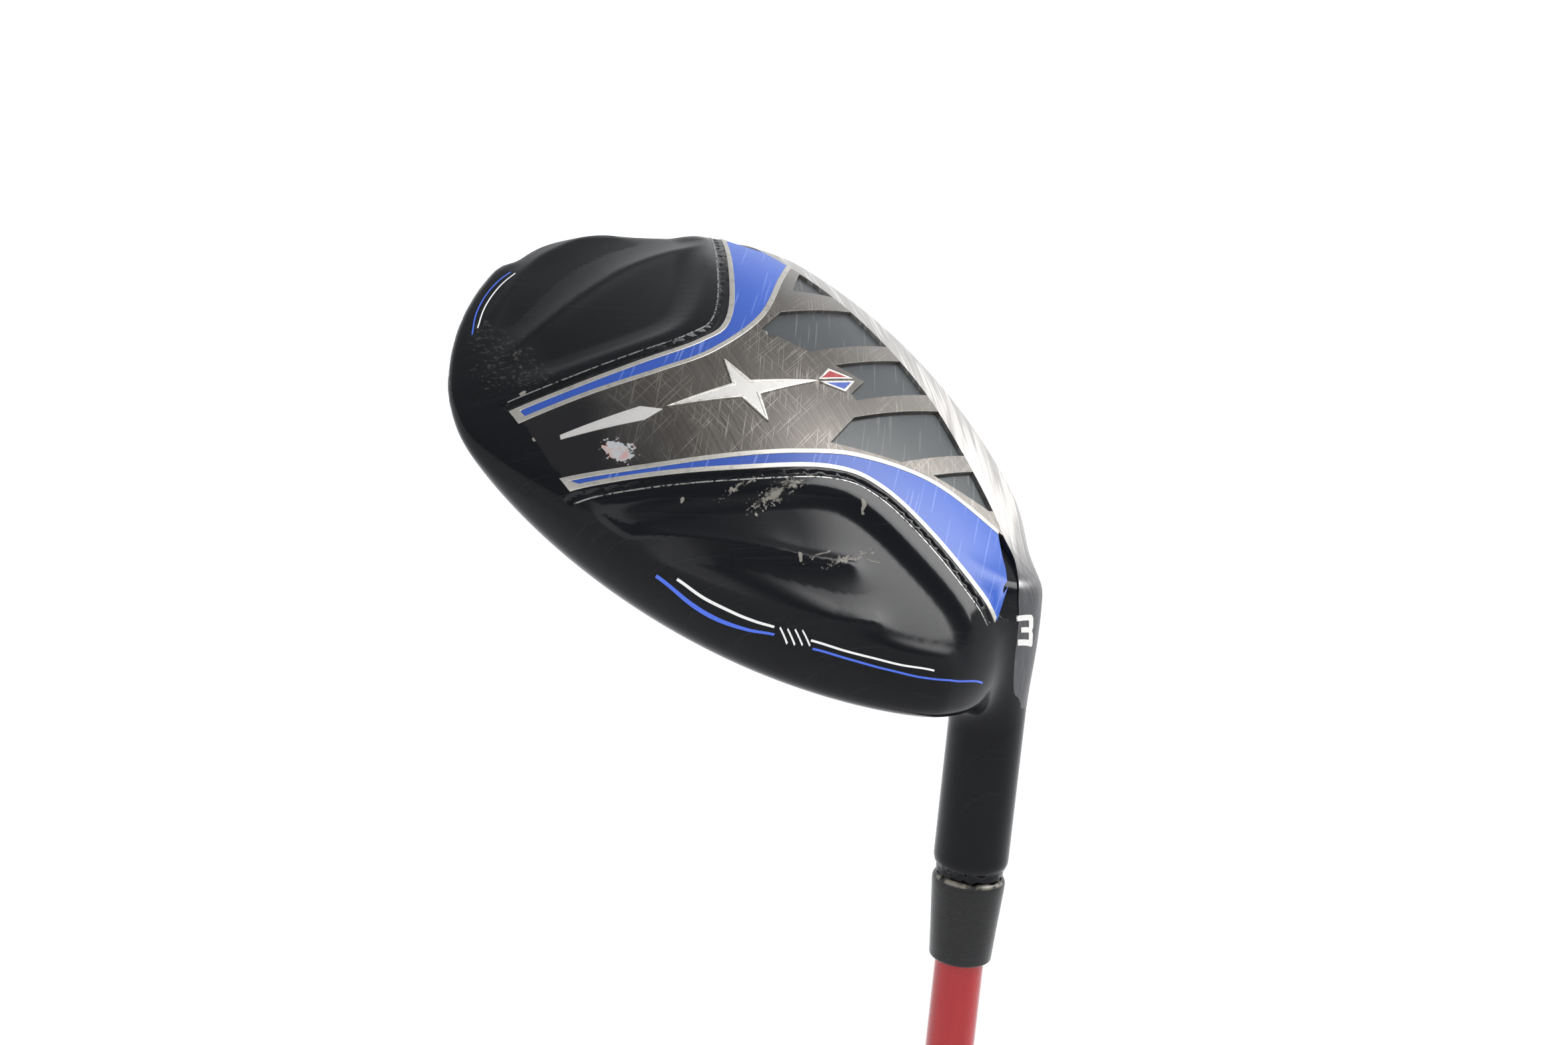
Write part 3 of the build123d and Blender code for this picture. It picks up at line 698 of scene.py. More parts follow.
CHIPS = [
    (-24.3, -24.3, 1.15, 0.45, 20), (-30.4, -38.7, 0.75, 0.3, 10), (-20.7, -41.6, 0.35, 0.25, 0),
        (-15.0, -52.1, 0.4, 0.3, 0),
    (-47.6, -46.6, 0.5, 0.8, 20), (-49.1, -47.8, 0.35, 0.6, 10), (-58.3, -37.8, 0.3, 0.5, 0),
        (38.5, -71.2, 2.6, 1.1, 28),
    (27.2, -74.2, 1.3, 0.8, 10), (18.6, -75.0, 1.6, 0.6, 0), (-1.0, -73.0, 1.2, 0.35, -15),
        (6.6, -66.8, 0.45, 0.35, 0),
    (17.3, -64.6, 0.4, 0.6, 0), (-60.5, -20.5, 0.7, 0.4, 0), (50.0, -66.0, 0.8, 0.5, 40),
        (-52.7, -37.4, 0.25, 0.6, 10),
]
SCUFFS = [
    (-18.2, -36.5, 1.25, 5.4, -12), (-15.9, -43.0, 0.5, 3.6, -14), (-32.7, -30.6, 0.75, 4.4, -8),
        (-31.2, -36.0, 0.3, 2.6, -12),
    (-34.2, -26.0, 0.2, 2.0, 30),
]
DUST = [(27.0, -63.5, 9.0, 4.5, 30), (36.0, -63.5, 5.0, 2.4, 35), (22.0, -62.0, 5.0, 5.0, 0)]


def black_paint():
    """Glossy black paint over the casting, satin in the fields, with chips and rubbed marks."""
    material, tree, shader = start_finish("black_paint", Metallic=0.0, Specular_IOR_Level=0.16)
    spot_place = head_place(tree)
    cloudy = noise(tree, spot_place, 0.06, 4.0)
    grain = noise(tree, spot_place, 1.6, 3.0)
    ragged = spread(tree, grain, 0.25, 0.75, -0.55, 0.75)
    chips = spots(tree, spot_place, CHIPS,
        spread(tree, noise(tree, spot_place, 0.9, 2.0), 0.25, 0.75, -0.5, 0.5))
    scuffs = spots(tree, spot_place, SCUFFS, ragged)
    broken = spread(tree, noise(tree, spot_place, 0.9, 4.0, (1.0, 0.35, 1.0), radians(15)), 0.40, 0.56)
    scuffs = maths(tree, "MULTIPLY", scuffs, broken)
    bare = maths(tree, "MAXIMUM", chips, scuffs)
    dust = spots(tree, spot_place, DUST, spread(tree, grain, 0.2, 0.8, -0.3, 0.6))
    dust = maths(tree, "MULTIPLY", dust, spread(tree, noise(tree, spot_place, 1.4, 5.0), 0.5, 0.72))
    satin = node(tree, "ShaderNodeAttribute", attribute_name="satin").outputs["Fac"]
    fine = scratches(tree, spot_place, radians(70), 0.66)
    base = blend(tree, cloudy, (0.0016, 0.002, 0.003, 1), (0.0035, 0.004, 0.0055, 1))
    base = blend(tree, maths(tree, "MULTIPLY", fine, 0.006), base, (0.35, 0.36, 0.38, 1))
    base = blend(tree, maths(tree, "MULTIPLY", dust, 0.16), base, (0.22, 0.22, 0.19, 1))
    base = blend(tree, bare, base, (0.17, 0.16, 0.14, 1))
    link(tree, base, shader, "Base Color")
    rough = spread(tree, satin, 0.0, 1.0, 0.14, 0.36)
    rough = maths(tree, "ADD", rough, maths(tree, "MULTIPLY", cloudy, 0.06))
    rough = maths(tree, "ADD", rough, maths(tree, "MULTIPLY", maths(tree, "MAXIMUM", bare, dust), 0.3))
    link(tree, rough, shader, "Roughness")
    height = maths(tree, "SUBTRACT", maths(tree, "MULTIPLY", grain, 0.10), bare)
    bump(tree, shader, height, 0.35, 0.00012)
    return material


def brushed_face():
    """Brushed stainless steel, darker where it runs out toward the hosel."""
    material, tree, shader = start_finish("brushed_face", Metallic=1.0, Anisotropic=0.4)
    spot_place = head_place(tree)
    streaks = noise(tree, spot_place, 1.0, 4.0, (0.9, 0.06, 0.06), radians(62))
    cross = noise(tree, spot_place, 1.0, 4.0, (0.07, 2.4, 0.3), radians(12))
    marks = scratches(tree, spot_place, radians(-24), 0.62)
    parts = node(tree, "ShaderNodeSeparateXYZ", {0: spot_place})
    heelward = spread(tree, maths(tree, "ADD", parts.outputs[0], maths(tree, "MULTIPLY", cross, 8.0)),
        -18.0, -42.0)
    bright = blend(tree, streaks, (0.30, 0.29, 0.28, 1), (0.50, 0.48, 0.46, 1))
    bright = blend(tree, maths(tree, "MULTIPLY", marks, 0.35), bright, (0.95, 0.94, 0.92, 1))
    dark = blend(tree, cross, (0.05, 0.05, 0.05, 1), (0.16, 0.16, 0.17, 1))
    link(tree, blend(tree, heelward, bright, dark), shader, "Base Color")
    rough = spread(tree, streaks, 0.2, 0.8, 0.28, 0.46)
    link(tree, rough, shader, "Roughness")
    bump(tree, shader, maths(tree, "ADD", streaks, cross), 0.18, 0.0001)
    return material


def crown_paint():
    """Deep black crown paint with a fine dark blue fleck under clear lacquer."""
    material, tree, shader = start_finish("crown_paint", Metallic=0.2, Roughness=0.28, Coat_Weight=1.0,
        Coat_Roughness=0.04)
    spot_place = head_place(tree)
    fleck = node(tree, "ShaderNodeTexVoronoi", {"Vector": spot_place, "Scale": 3.5}).outputs["Distance"]
    cloudy = noise(tree, spot_place, 0.05, 3.0)
    base = blend(tree, cloudy, (0.004, 0.005, 0.008, 1), (0.008, 0.010, 0.016, 1))
    base = blend(tree, spread(tree, fleck, 0.16, 0.04), base, (0.03, 0.045, 0.09, 1))
    hair = scratches(tree, spot_place, radians(40), 0.69)
    link(tree, blend(tree, maths(tree, "MULTIPLY", hair, 0.05), base, (0.3, 0.3, 0.32, 1)), shader,
        "Base Color")
    bump(tree, shader, noise(tree, spot_place, 0.5, 3.0), 0.04, 0.0001)
    return material


def gunmetal():
    """Brushed dark nickel plate that fades into gloss black toward the back of the head, with a painted
    reflection: a pale, faintly pink patch near the back.
    """
    material, tree, shader = start_finish("gunmetal", Specular_IOR_Level=0.4)
    spot_place = head_place(tree)
    parts = node(tree, "ShaderNodeSeparateXYZ", {0: spot_place})
    cloudy = noise(tree, spot_place, 0.12, 4.0)
    depth = maths(tree, "ADD", parts.outputs[1], maths(tree, "MULTIPLY", cloudy, 9.0))
    black = spread(tree, depth, -38.0, -56.0)
    bright_end = spread(tree, parts.outputs[1], -16.0, 6.0)
    brushed = noise(tree, spot_place, 1.0, 5.0, (0.05, 2.6, 0.4), radians(-3))
    hair_one = scratches(tree, spot_place, radians(-32), 0.66, 5.0, 0.07)
    hair_two = scratches(tree, spot_place, radians(-58), 0.68, 4.4, 0.06)
    hair_three = scratches(tree, spot_place, radians(12), 0.68, 4.8, 0.06)
    hairs = maths(tree, "MAXIMUM", maths(tree, "MAXIMUM", hair_one, hair_two), hair_three)
    hairs = maths(tree, "MULTIPLY", hairs, spread(tree, cloudy, 0.35, 0.6))
    plain = blend(tree, brushed, (0.055, 0.050, 0.046, 1), (0.15, 0.138, 0.126, 1))
    plain = blend(tree, maths(tree, "MULTIPLY", bright_end, 0.35), plain, (0.36, 0.34, 0.31, 1))
    plain = blend(tree, maths(tree, "MULTIPLY", hairs, 0.2), plain, (0.62, 0.59, 0.54, 1))
    # Painted reflection: a pale, faintly pink patch near the back of the plate stands in for a soft light's
    # reflection; the patch is also made rougher and less metallic.
    painted_reflection_spot = spots(tree, spot_place, [(-2.4, -57.2, 2.9, 2.0, -20)],
        spread(tree, noise(tree, spot_place, 0.8, 4.0), 0.25, 0.75, -0.5, 0.6))
    reflection_tint = noise(tree, spot_place, 0.7, 3.0)
    painted_reflection_colour = blend(tree, spread(tree, reflection_tint, 0.45, 0.65), (0.30, 0.31, 0.32, 1), (0.34, 0.21, 0.19, 1))
    base = blend(tree, black, plain, (0.004, 0.004, 0.005, 1))
    base = blend(tree, painted_reflection_spot, base, painted_reflection_colour)
    link(tree, base, shader, "Base Color")
    link(tree,
        maths(tree, "SUBTRACT", spread(tree, black, 0.0, 1.0, 0.92, 0.1),
            maths(tree, "MULTIPLY", painted_reflection_spot, 0.1)), shader, "Metallic")
    rough = maths(tree, "ADD", spread(tree, black, 0.0, 1.0, 0.34, 0.10),
        maths(tree, "MULTIPLY", brushed, 0.08))
    link(tree, maths(tree, "ADD", rough, maths(tree, "MULTIPLY", painted_reflection_spot, 0.3)), shader, "Roughness")
    height = maths(tree, "SUBTRACT", maths(tree, "MULTIPLY", brushed, 0.4), hairs)
    bump(tree, shader, height, 0.12, 0.0001)
    return material


def satin_finish(name, low, high, rough, metal=0.0, grain=2.0, wear=0.0, wear_colour=(0.4, 0.38, 0.35, 1),
    coat=0.0):
    """A satin enamel or plastic with a fine grain, small rubs and hairlines."""
    material, tree, shader = start_finish(name, Metallic=metal, Coat_Weight=coat, Coat_Roughness=0.12)
    spot_place = head_place(tree)
    cloudy = noise(tree, spot_place, 0.25, 4.0)
    fine = noise(tree, spot_place, grain, 4.0)
    hair = scratches(tree, spot_place, radians(-35), 0.67)
    base = blend(tree, maths(tree, "MULTIPLY", maths(tree, "ADD", cloudy, fine), 0.5), low, high)
    base = blend(tree, maths(tree, "MULTIPLY", hair, 0.12), base, wear_colour)
    if wear:
        base = blend(tree, spread(tree, noise(tree, spot_place, 0.7, 6.0), 0.78 - wear, 0.84 - wear), base,
            wear_colour)
    link(tree, base, shader, "Base Color")
    link(tree, maths(tree, "ADD", maths(tree, "MULTIPLY", fine, 0.14), rough - 0.07), shader, "Roughness")
    bump(tree, shader, fine, 0.10, 0.00008)
    return material


def blue_enamel():
    """Blue enamel fill, a little lighter toward the front, with small chips and rubbed edges."""
    material, tree, shader = start_finish("blue_enamel", Roughness=0.36, Specular_IOR_Level=0.3)
    spot_place = head_place(tree)
    parts = node(tree, "ShaderNodeSeparateXYZ", {0: spot_place})
    cloudy = noise(tree, spot_place, 0.3, 5.0)
    front = spread(tree, maths(tree, "ADD", parts.outputs[1], maths(tree, "MULTIPLY", cloudy, 6.0)), -34.0,
        2.0)
    base = blend(tree, front, (0.018, 0.058, 0.28, 1), (0.018, 0.085, 0.42, 1))
    base = blend(tree, maths(tree, "MULTIPLY", cloudy, 0.35), base, (0.014, 0.045, 0.24, 1))
    specks = spread(tree, noise(tree, spot_place, 1.5, 5.0), 0.70, 0.76)
    hair = scratches(tree, spot_place, radians(-40), 0.68)
    base = blend(tree, maths(tree, "MULTIPLY", hair, 0.2), base, (0.3, 0.4, 0.75, 1))
    base = blend(tree, maths(tree, "MULTIPLY", specks, 0.6), base, (0.006, 0.01, 0.03, 1))
    chip = spots(tree, spot_place, [(14.6, -60.2, 0.9, 0.4, 0)],
        spread(tree, noise(tree, spot_place, 1.6, 3.0), 0.25, 0.75, -0.4, 0.5))
    base = blend(tree, chip, base, (0.20, 0.22, 0.22, 1))
    link(tree, base, shader, "Base Color")
    bump(tree, shader, noise(tree, spot_place, 1.2, 4.0), 0.08, 0.00008)
    return material


def bare_metal(name, low, high, rough, dark_share=0.35, metal=0.9):
    """Bright metal with rubbed and tarnished places."""
    material, tree, shader = start_finish(name, Metallic=metal)
    spot_place = head_place(tree)
    fine = noise(tree, spot_place, 2.4, 5.0)
    cloudy = noise(tree, spot_place, 0.5, 4.0)
    base = blend(tree, fine, low, high)
    base = blend(tree, maths(tree, "MULTIPLY", spread(tree, cloudy, 0.5, 0.72), dark_share), base,
        (0.10, 0.09, 0.08, 1))
    link(tree, base, shader, "Base Color")
    link(tree, maths(tree, "ADD", maths(tree, "MULTIPLY", fine, 0.2), rough - 0.1), shader, "Roughness")
    bump(tree, shader, fine, 0.15, 0.00008)
    return material


def worn_line():
    """A painted-over edge with the metal showing in broken stretches."""
    material, tree, shader = start_finish("worn_line", Metallic=0.75)
    spot_place = head_place(tree)
    broken = spread(tree, noise(tree, spot_place, 1.3, 5.0), 0.36, 0.54)
    base = blend(tree, broken, (0.012, 0.012, 0.014, 1), (0.26, 0.26, 0.25, 1))
    link(tree, base, shader, "Base Color")
    link(tree, spread(tree, broken, 0.0, 1.0, 0.2, 0.36), shader, "Roughness")
    bump(tree, shader, broken, 0.3, 0.0001)
    return material


def red_shaft():
    """Deep red lacquer on graphite, with a hint of the wound fibre under it."""
    material, tree, shader = start_finish("red_shaft", Roughness=0.22, Coat_Weight=0.4, Coat_Roughness=0.08,
        Specular_IOR_Level=0.3)
    spot_place = row_place(tree)
    wound = noise(tree, spot_place, 0.5, 4.0, (1.0, 1.0, 0.08))
    fleck = noise(tree, spot_place, 3.0, 3.0)
    base = blend(tree, wound, (0.22, 0.0015, 0.004, 1), (0.36, 0.003, 0.007, 1))
    base = blend(tree, spread(tree, fleck, 0.62, 0.72), base, (0.45, 0.006, 0.012, 1))
    link(tree, base, shader, "Base Color")
    bump(tree, shader, wound, 0.03, 0.0001)
    return material


def black_plastic():
    """Turned black plastic with fine lathe lines, paler along its top edge."""
    material, tree, shader = start_finish("black_plastic", Metallic=0.0, Specular_IOR_Level=0.3)
    spot_place = row_place(tree)
    rings = noise(tree, spot_place, 1.0, 3.0, (0.02, 0.02, 5.0))
    cloudy = noise(tree, spot_place, 0.35, 5.0)
    parts = node(tree, "ShaderNodeSeparateXYZ", {0: spot_place})
    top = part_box("ferrule")[1].z / MM
    # Paler band along the top edge of the ferrule, broken up by noise.
    pale_top_edge = maths(tree, "MULTIPLY", spread(tree, parts.outputs[2], top - 0.8, top - 0.3),
        spread(tree, cloudy, 0.42, 0.62))
    base = blend(tree, cloudy, (0.003, 0.003, 0.0035, 1), (0.007, 0.007, 0.0075, 1))
    base = blend(tree, maths(tree, "MULTIPLY", pale_top_edge, 0.8), base, (0.30, 0.28, 0.24, 1))
    link(tree, base, shader, "Base Color")
    link(tree, spread(tree, rings, 0.2, 0.8, 0.18, 0.34), shader, "Roughness")
    bump(tree, shader, rings, 0.03, 0.0001)
    return material


def grip_rubber(name="grip_rubber", rough=0.62):
    """Soft black rubber with a fine pebble and a little dust."""
    material, tree, shader = start_finish(name, Metallic=0.0)
    spot_place = row_place(tree)
    pebble = node(tree, "ShaderNodeTexVoronoi", {"Vector": spot_place, "Scale": 1.8}).outputs["Distance"]
    cloudy = noise(tree, spot_place, 0.08, 4.0)
    base = blend(tree, cloudy, (0.010, 0.010, 0.011, 1), (0.022, 0.022, 0.024, 1))
    base = blend(tree,
        maths(tree, "MULTIPLY", spread(tree, noise(tree, spot_place, 0.8, 5.0), 0.55, 0.75), 0.15), base,
            (0.10, 0.10, 0.10, 1))
    link(tree, base, shader, "Base Color")
    link(tree, spread(tree, cloudy, 0.2, 0.8, rough - 0.08, rough + 0.12), shader, "Roughness")
    bump(tree, shader, pebble, 0.25, 0.0002)
    return material


def clear_glue():
    """Hazy amber glue."""
    material, tree, shader = start_finish("clear_glue", Roughness=0.35)
    haze = noise(tree, row_place(tree), 0.8, 4.0)
    link(tree, blend(tree, haze, (0.45, 0.33, 0.14, 1), (0.62, 0.52, 0.30, 1)), shader, "Base Color")
    bump(tree, shader, haze, 0.2, 0.0002)
    return material


BLACK = black_paint()
FACE = brushed_face()
CROWN = crown_paint()
GUNMETAL = gunmetal()
DARK_ENAMEL = satin_finish("dark_enamel", (0.012, 0.016, 0.018, 1), (0.026, 0.034, 0.038, 1), 0.42, grain=1.4)
BLUE = blue_enamel()
SILVER_TRIM = bare_metal("silver_trim", (0.36, 0.35, 0.32, 1), (0.56, 0.54, 0.50, 1), 0.38, 0.3)
BADGE = bare_metal("badge_silver", (0.42, 0.41, 0.40, 1), (0.54, 0.53, 0.51, 1), 0.50, 0.06, 0.55)
BADGE_EDGE = bare_metal("badge_edge", (0.74, 0.72, 0.66, 1), (0.90, 0.88, 0.82, 1), 0.28, 0.3, 0.9)
RED = satin_finish("red_enamel", (0.24, 0.010, 0.014, 1), (0.36, 0.018, 0.022, 1), 0.34, wear=0.1, coat=0.2)
BLUE_ACCENT = satin_finish("blue_accent_enamel", (0.020, 0.05, 0.26, 1), (0.03, 0.08, 0.38, 1), 0.34,
    wear=0.1, coat=0.2)
WHITE_PRINT = satin_finish("white_print", (0.62, 0.62, 0.60, 1), (0.80, 0.80, 0.78, 1), 0.45, wear=0.04,
    wear_colour=(0.05, 0.05, 0.05, 1))
NUMBER_PRINT = satin_finish("number_print", (0.55, 0.55, 0.53, 1), (0.68, 0.67, 0.64, 1), 0.45, wear=0.14,
    wear_colour=(0.16, 0.16, 0.16, 1))
BLUE_PRINT = satin_finish("blue_print", (0.03, 0.09, 0.52, 1), (0.05, 0.13, 0.66, 1), 0.4, wear=0.04,
    wear_colour=(0.02, 0.02, 0.03, 1))
WORN_LINE = worn_line()
RED_SHAFT = red_shaft()
PLASTIC = black_plastic()
RUBBER = grip_rubber()
CAP_RUBBER = grip_rubber("cap_rubber", 0.5)
GLUE = clear_glue()
RAW_WELD = bare_metal("raw_weld", (0.22, 0.20, 0.18, 1), (0.42, 0.40, 0.38, 1), 0.5, 0.5)
RAW_WEIGHT = bare_metal("raw_weight", (0.26, 0.26, 0.27, 1), (0.40, 0.40, 0.41, 1), 0.45, 0.3)
HOT_GLUE = satin_finish("hot_glue", (0.42, 0.36, 0.22, 1), (0.60, 0.54, 0.38, 1), 0.4)
PAPER_TAPE = satin_finish("paper_tape", (0.45, 0.42, 0.34, 1), (0.58, 0.55, 0.46, 1), 0.8)

# --- Head: body, face cup and crown plate ---

low_corner = (-76.0, -80.0, -2.0)
high_corner = (70.0, 22.0, 56.0)
axes = [np.arange(low, high + CELL, CELL) for low, high in zip(low_corner, high_corner)]
grid_x, grid_y, grid_z = np.meshgrid(*axes, indexing="ij")
plain_height = (bowl_height(grid_x[:, :, 0], grid_y[:, :, 0]) + scoops(grid_x[:, :, 0], grid_y[:, :, 0]))[:,
    :, None]
flat_x, flat_y = grid_x[:, :, 0], grid_y[:, :, 0]
pocket_depth = groove(flat_x, flat_y) + POCKET * ease(depth_inside(flat_x, flat_y, pocket_outline), 0.2, 0.8)


def pocket_field(x, y, z):
    """Return the head's field with the panel pocket cut in."""
    return head_field(x, y, z, POCKET)


plain_grid = solid_field(grid_x, grid_y, grid_z, plain_height)
skin, skin_triangles = net(plain_grid, low_corner, CELL)
skin = settle(head_field, skin)
pocket_grid = solid_field(grid_x, grid_y, grid_z, plain_height + pocket_depth[:, :, None])
cut_skin, cut_triangles = net(pocket_grid, low_corner, CELL)
cut_skin = settle(pocket_field, cut_skin)

cup_points, cup_triangles = keep_side(skin, skin_triangles, cup_side(*skin.T))
cup = shell("face_cup_steel", cup_points, cup_triangles, head_field, CUP_WALL, FACE)
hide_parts("face_cup")

crown_points, crown_triangles = keep_side(skin, skin_triangles,
    np.minimum(crown_side(*skin.T), -cup_side(*skin.T)))
crown = shell("crown_skin", crown_points, crown_triangles, head_field, 0.6, CROWN)
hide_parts("crown_plate")

body_side = np.minimum(-cup_side(*cut_skin.T), -crown_side(*cut_skin.T))
body_points, body_triangles = keep_side(cut_skin, cut_triangles, body_side)
body = shell("painted_body", body_points, body_triangles, pocket_field, BODY_WALL, BLACK)
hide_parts("head_body")
satin = 0.45 * ease(depth_inside(body_points[:, 0], body_points[:, 1], heel_field), -1.0, 4.0)
satin += 1.0 * ease(depth_inside(body_points[:, 0], body_points[:, 1], toe_field), -3.0, 5.0)
satin *= body_points[:, 2] < 24
layer = body.data.attributes.new("satin", "FLOAT", "POINT")
layer.data.foreach_set("value", np.concatenate([satin, satin]).astype(np.float32))


def glue_field(x, y, z):
    """Return how far a point lies outside the lumpy dab of rattle glue."""
    lump = 0.8 * np.sin(x * 0.7) * np.cos(y * 0.6)
    across = np.sqrt(((x - 24.0) / 10.0) ** 2 + ((y + 48.0) / 8.5) ** 2 + ((z - bowl_height(x,
        y) - 4.4) / 1.7) ** 2)
    return (across - 1.0) * 4.0 + lump * 0.35


glue_axes = [np.arange(low, high, 0.7) for low, high in ((12.0, 36.0), (-59.0, -37.0), (6.0, 24.0))]
glue_points, glue_triangles = net(glue_field(*np.meshgrid(*glue_axes, indexing="ij")), (12.0, -59.0, 6.0),
    0.7)
glue_corners = unit(slope_of(glue_field, glue_points))[glue_triangles].reshape(-1, 3)
glue_dab = write_mesh("glue_dab", glue_points, glue_triangles.tolist(), glue_corners, HOT_GLUE)
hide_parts("glue_pad")

# --- Sole panel and window floors ---


def behind_seam(x, y, gap=0.0):
    """Tell which plan points lie behind the seam of the face cup."""
    return y < np.interp(x, seam_line[:, 0], seam_line[:, 1]) - gap


def behind_end(x, y):
    """Tell which plan points lie behind the front ends of the stripes."""
    return y < np.interp(x, stripe_ends[:, 0], stripe_ends[:, 1]) - 0.05


window_lines = {label: straight_line(loop(np.array(outline))) for label, outline in WINDOWS.items()}
panel_outline = np.vstack([heel_inner, [(-33.5, 14.0), (48.0, 14.0)], toe_inner[::-1]])
clip_line = straight_line(seam_line - [0.0, 0.05], 1.0)
end_line = straight_line(stripe_ends - [0.0, 0.05], 1.0)


def in_panel(x, y):
    """Tell which plan points belong to the sole panel."""
    kept = inside(x, y, panel_outline) & behind_seam(x, y, 0.05)
    for outline in WINDOWS.values():
        kept &= ~inside(x, y, outline)
    return kept


panel_lines = [heel_inner, toe_inner, np.array([heel_inner[0], toe_inner[0]]),
    clip_line] + list(window_lines.values())
panel = plate("sole_plate", panel_lines, in_panel, 0.0, 1.1, GUNMETAL, 0.12)
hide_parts("sole_panel")

for label, line in window_lines.items():
    outline = np.array(WINDOWS[label])
    middle = outline.mean(0)
    wide = middle + (outline - middle) * 1.05

    def in_floor(x, y, outline=wide):
        return inside(x, y, outline) & behind_seam(x, y, -1.0)

    floor_lines = [straight_line(loop(wide)), straight_line(seam_line + [0.0, 1.0], 1.0)]
    window_floor = plate(label.replace("window_enamel", "window_floor"), floor_lines, in_floor, -0.75, 1.0,
        DARK_ENAMEL, 0.05)
    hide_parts(label)

# --- Stripes with their silver edging ---
TRIM = 0.78


def stripe(side, inner, outer, hand):
    """Make one blue stripe and the silver edging round it."""
    outline = np.vstack([inner, outer[::-1]])
    fill_inner = beside(inner, hand * TRIM)
    fill_outer = beside(outer, -hand * TRIM)
    fill_inner = fill_inner[2:]
    fill_outer = fill_outer[2:]
    fill_outline = np.vstack([fill_inner, fill_outer[::-1]])
    lines = [loop(outline), loop(fill_outline), end_line]
    blue = plate(
        f"{side}_stripe_fill", lines, lambda x, y: inside(x, y, fill_outline) & behind_end(x, y),
        0.02, 1.0, BLUE, 0.04,
    )
    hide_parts(f"{side}_stripe")
    edging = plate(
        f"{side}_stripe_edging", lines,
        lambda x, y: inside(x, y, outline) & ~inside(x, y, fill_outline) & behind_end(x, y),
        0.16, 1.0, SILVER_TRIM, 0.12, 0.0,
    )
    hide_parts(f"{side}_stripe_trim")
    ridge = strip(beside(outer, hand * 2.15)[1:], 0.2)
    rim_line = plate(f"{side}_rim_line", [loop(ridge)], within(ridge), 0.06, 0.4, WORN_LINE,
        0.05, 0.0)
    return blue, edging, rim_line


stripe("heel", heel_inner, heel_outer, 1)
stripe("toe", toe_inner, toe_outer, -1)

# --- Emblem: a four-pointed compass star with a red and a blue mark ---


def star_outline(long, wide, waist):
    """Return a four-pointed star as an outline."""
    points = []
    for quarter in range(4):
        reach = long if quarter % 2 == 0 else wide
        angle = pi / 2 * quarter + pi / 2
        points.append((cos(angle) * reach, sin(angle) * reach))
        points.append((cos(angle + pi / 4) * waist, sin(angle + pi / 4) * waist))
    return np.array(points) + STAR_MIDDLE


def badge(name, outline, rim_width, filling, node_name):
    """Make a flat emblem with a raised bright rim."""
    middle = outline.mean(0)
    ring = straight_line(loop(outline), 0.8)
    edge_way = np.roll(outline, -1, 0) - outline
    edge_way /= np.hypot(*edge_way.T)[:, None]
    left = np.column_stack([-edge_way[:, 1], edge_way[:, 0]])
    turn = 1.0 if (left[0] * (middle - outline[0])).sum() > 0 else -1.0
    pair = left + np.roll(left, 1, 0)
    pair /= np.maximum((pair * left).sum(1), 0.35)[:, None]
    core = outline + turn * rim_width * pair
    core_line = straight_line(loop(core), 0.8)
    lines = [ring, core_line]
    core_piece = plate(name, lines, within(core), 0.22, 0.8, filling, 0.05)
    rim = plate(
        f"{name}_rim", lines, lambda x, y: inside(x, y, outline) & ~inside(x, y, core),
        0.34, 0.8, BADGE_EDGE, 0.1, 0.0,
    )
    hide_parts(node_name)
    return core_piece, rim


badge("compass_star", star_outline(14.2, 8.0, 2.4), 0.42, BADGE, "star_badge")
half_mark = np.array([(0.0, 3.6), (-2.6, 0.0), (0.0, -3.6)])
badge("red_mark", half_mark[::-1] * (-1, 1) + ACCENT_MIDDLE + (0.4, 0.0), 0.3, RED, "red_accent")
badge("blue_mark", half_mark + ACCENT_MIDDLE - (0.4, 0.0), 0.3, BLUE_ACCENT, "blue_accent")
dart = np.array(DART)
dart_piece = plate("dart", [straight_line(loop(dart))], within(dart), 0.16, 0.8, BADGE, 0.1)
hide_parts("dart_mark")

# --- Printed lines and the club number ---

WHITE_RUNS = [
    [(-26.1, -56.1), (-30.2, -53.2), (-34.1, -49.9), (-36.7, -47.4), (-38.7, -45.2)],
    [(-42.7, -40.7), (-45.9, -36.5), (-48.5, -32.5), (-50.9, -28.2), (-52.9, -23.3)],
]
BLUE_RUNS = [
    [(-23.8, -58.2), (-29.2, -54.6), (-33.3, -51.4), (-36.8, -48.1), (-39.4, -45.1)],
    [(-43.6, -40.4), (-47.3, -35.4), (-50.5, -30.3), (-53.2, -24.7), (-54.5, -19.2), (-54.3, -12.1)],
]
TICKS = [(-40.2, -44.0), (-40.9, -43.1), (-41.5, -42.2), (-42.1, -41.3)]
TOE_WHITE_RUN = [(37.6, -63.4), (42.0, -60.6), (45.6, -57.6), (48.6, -54.4), (51.0, -51.0)]
TOE_BLUE_RUN = [(36.4, -64.8), (41.6, -62.0), (46.0, -58.6), (49.4, -55.0), (51.9, -51.4)]


def join_prints(name, outlines, material, node_name=None, lift=0.05, extra=()):
    """Make several printed shapes as one piece."""
    lines = [loop(outline) for outline in outlines] + list(extra)

    def keep(x, y):
        kept = np.zeros(np.shape(x), bool)
        for outline in outlines:
            kept |= inside(x, y, outline)
        return kept

    piece = plate(name, lines, keep, lift, 0.5, material, 0.03, 0.0)
    if node_name:
        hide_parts(node_name)
    return piece


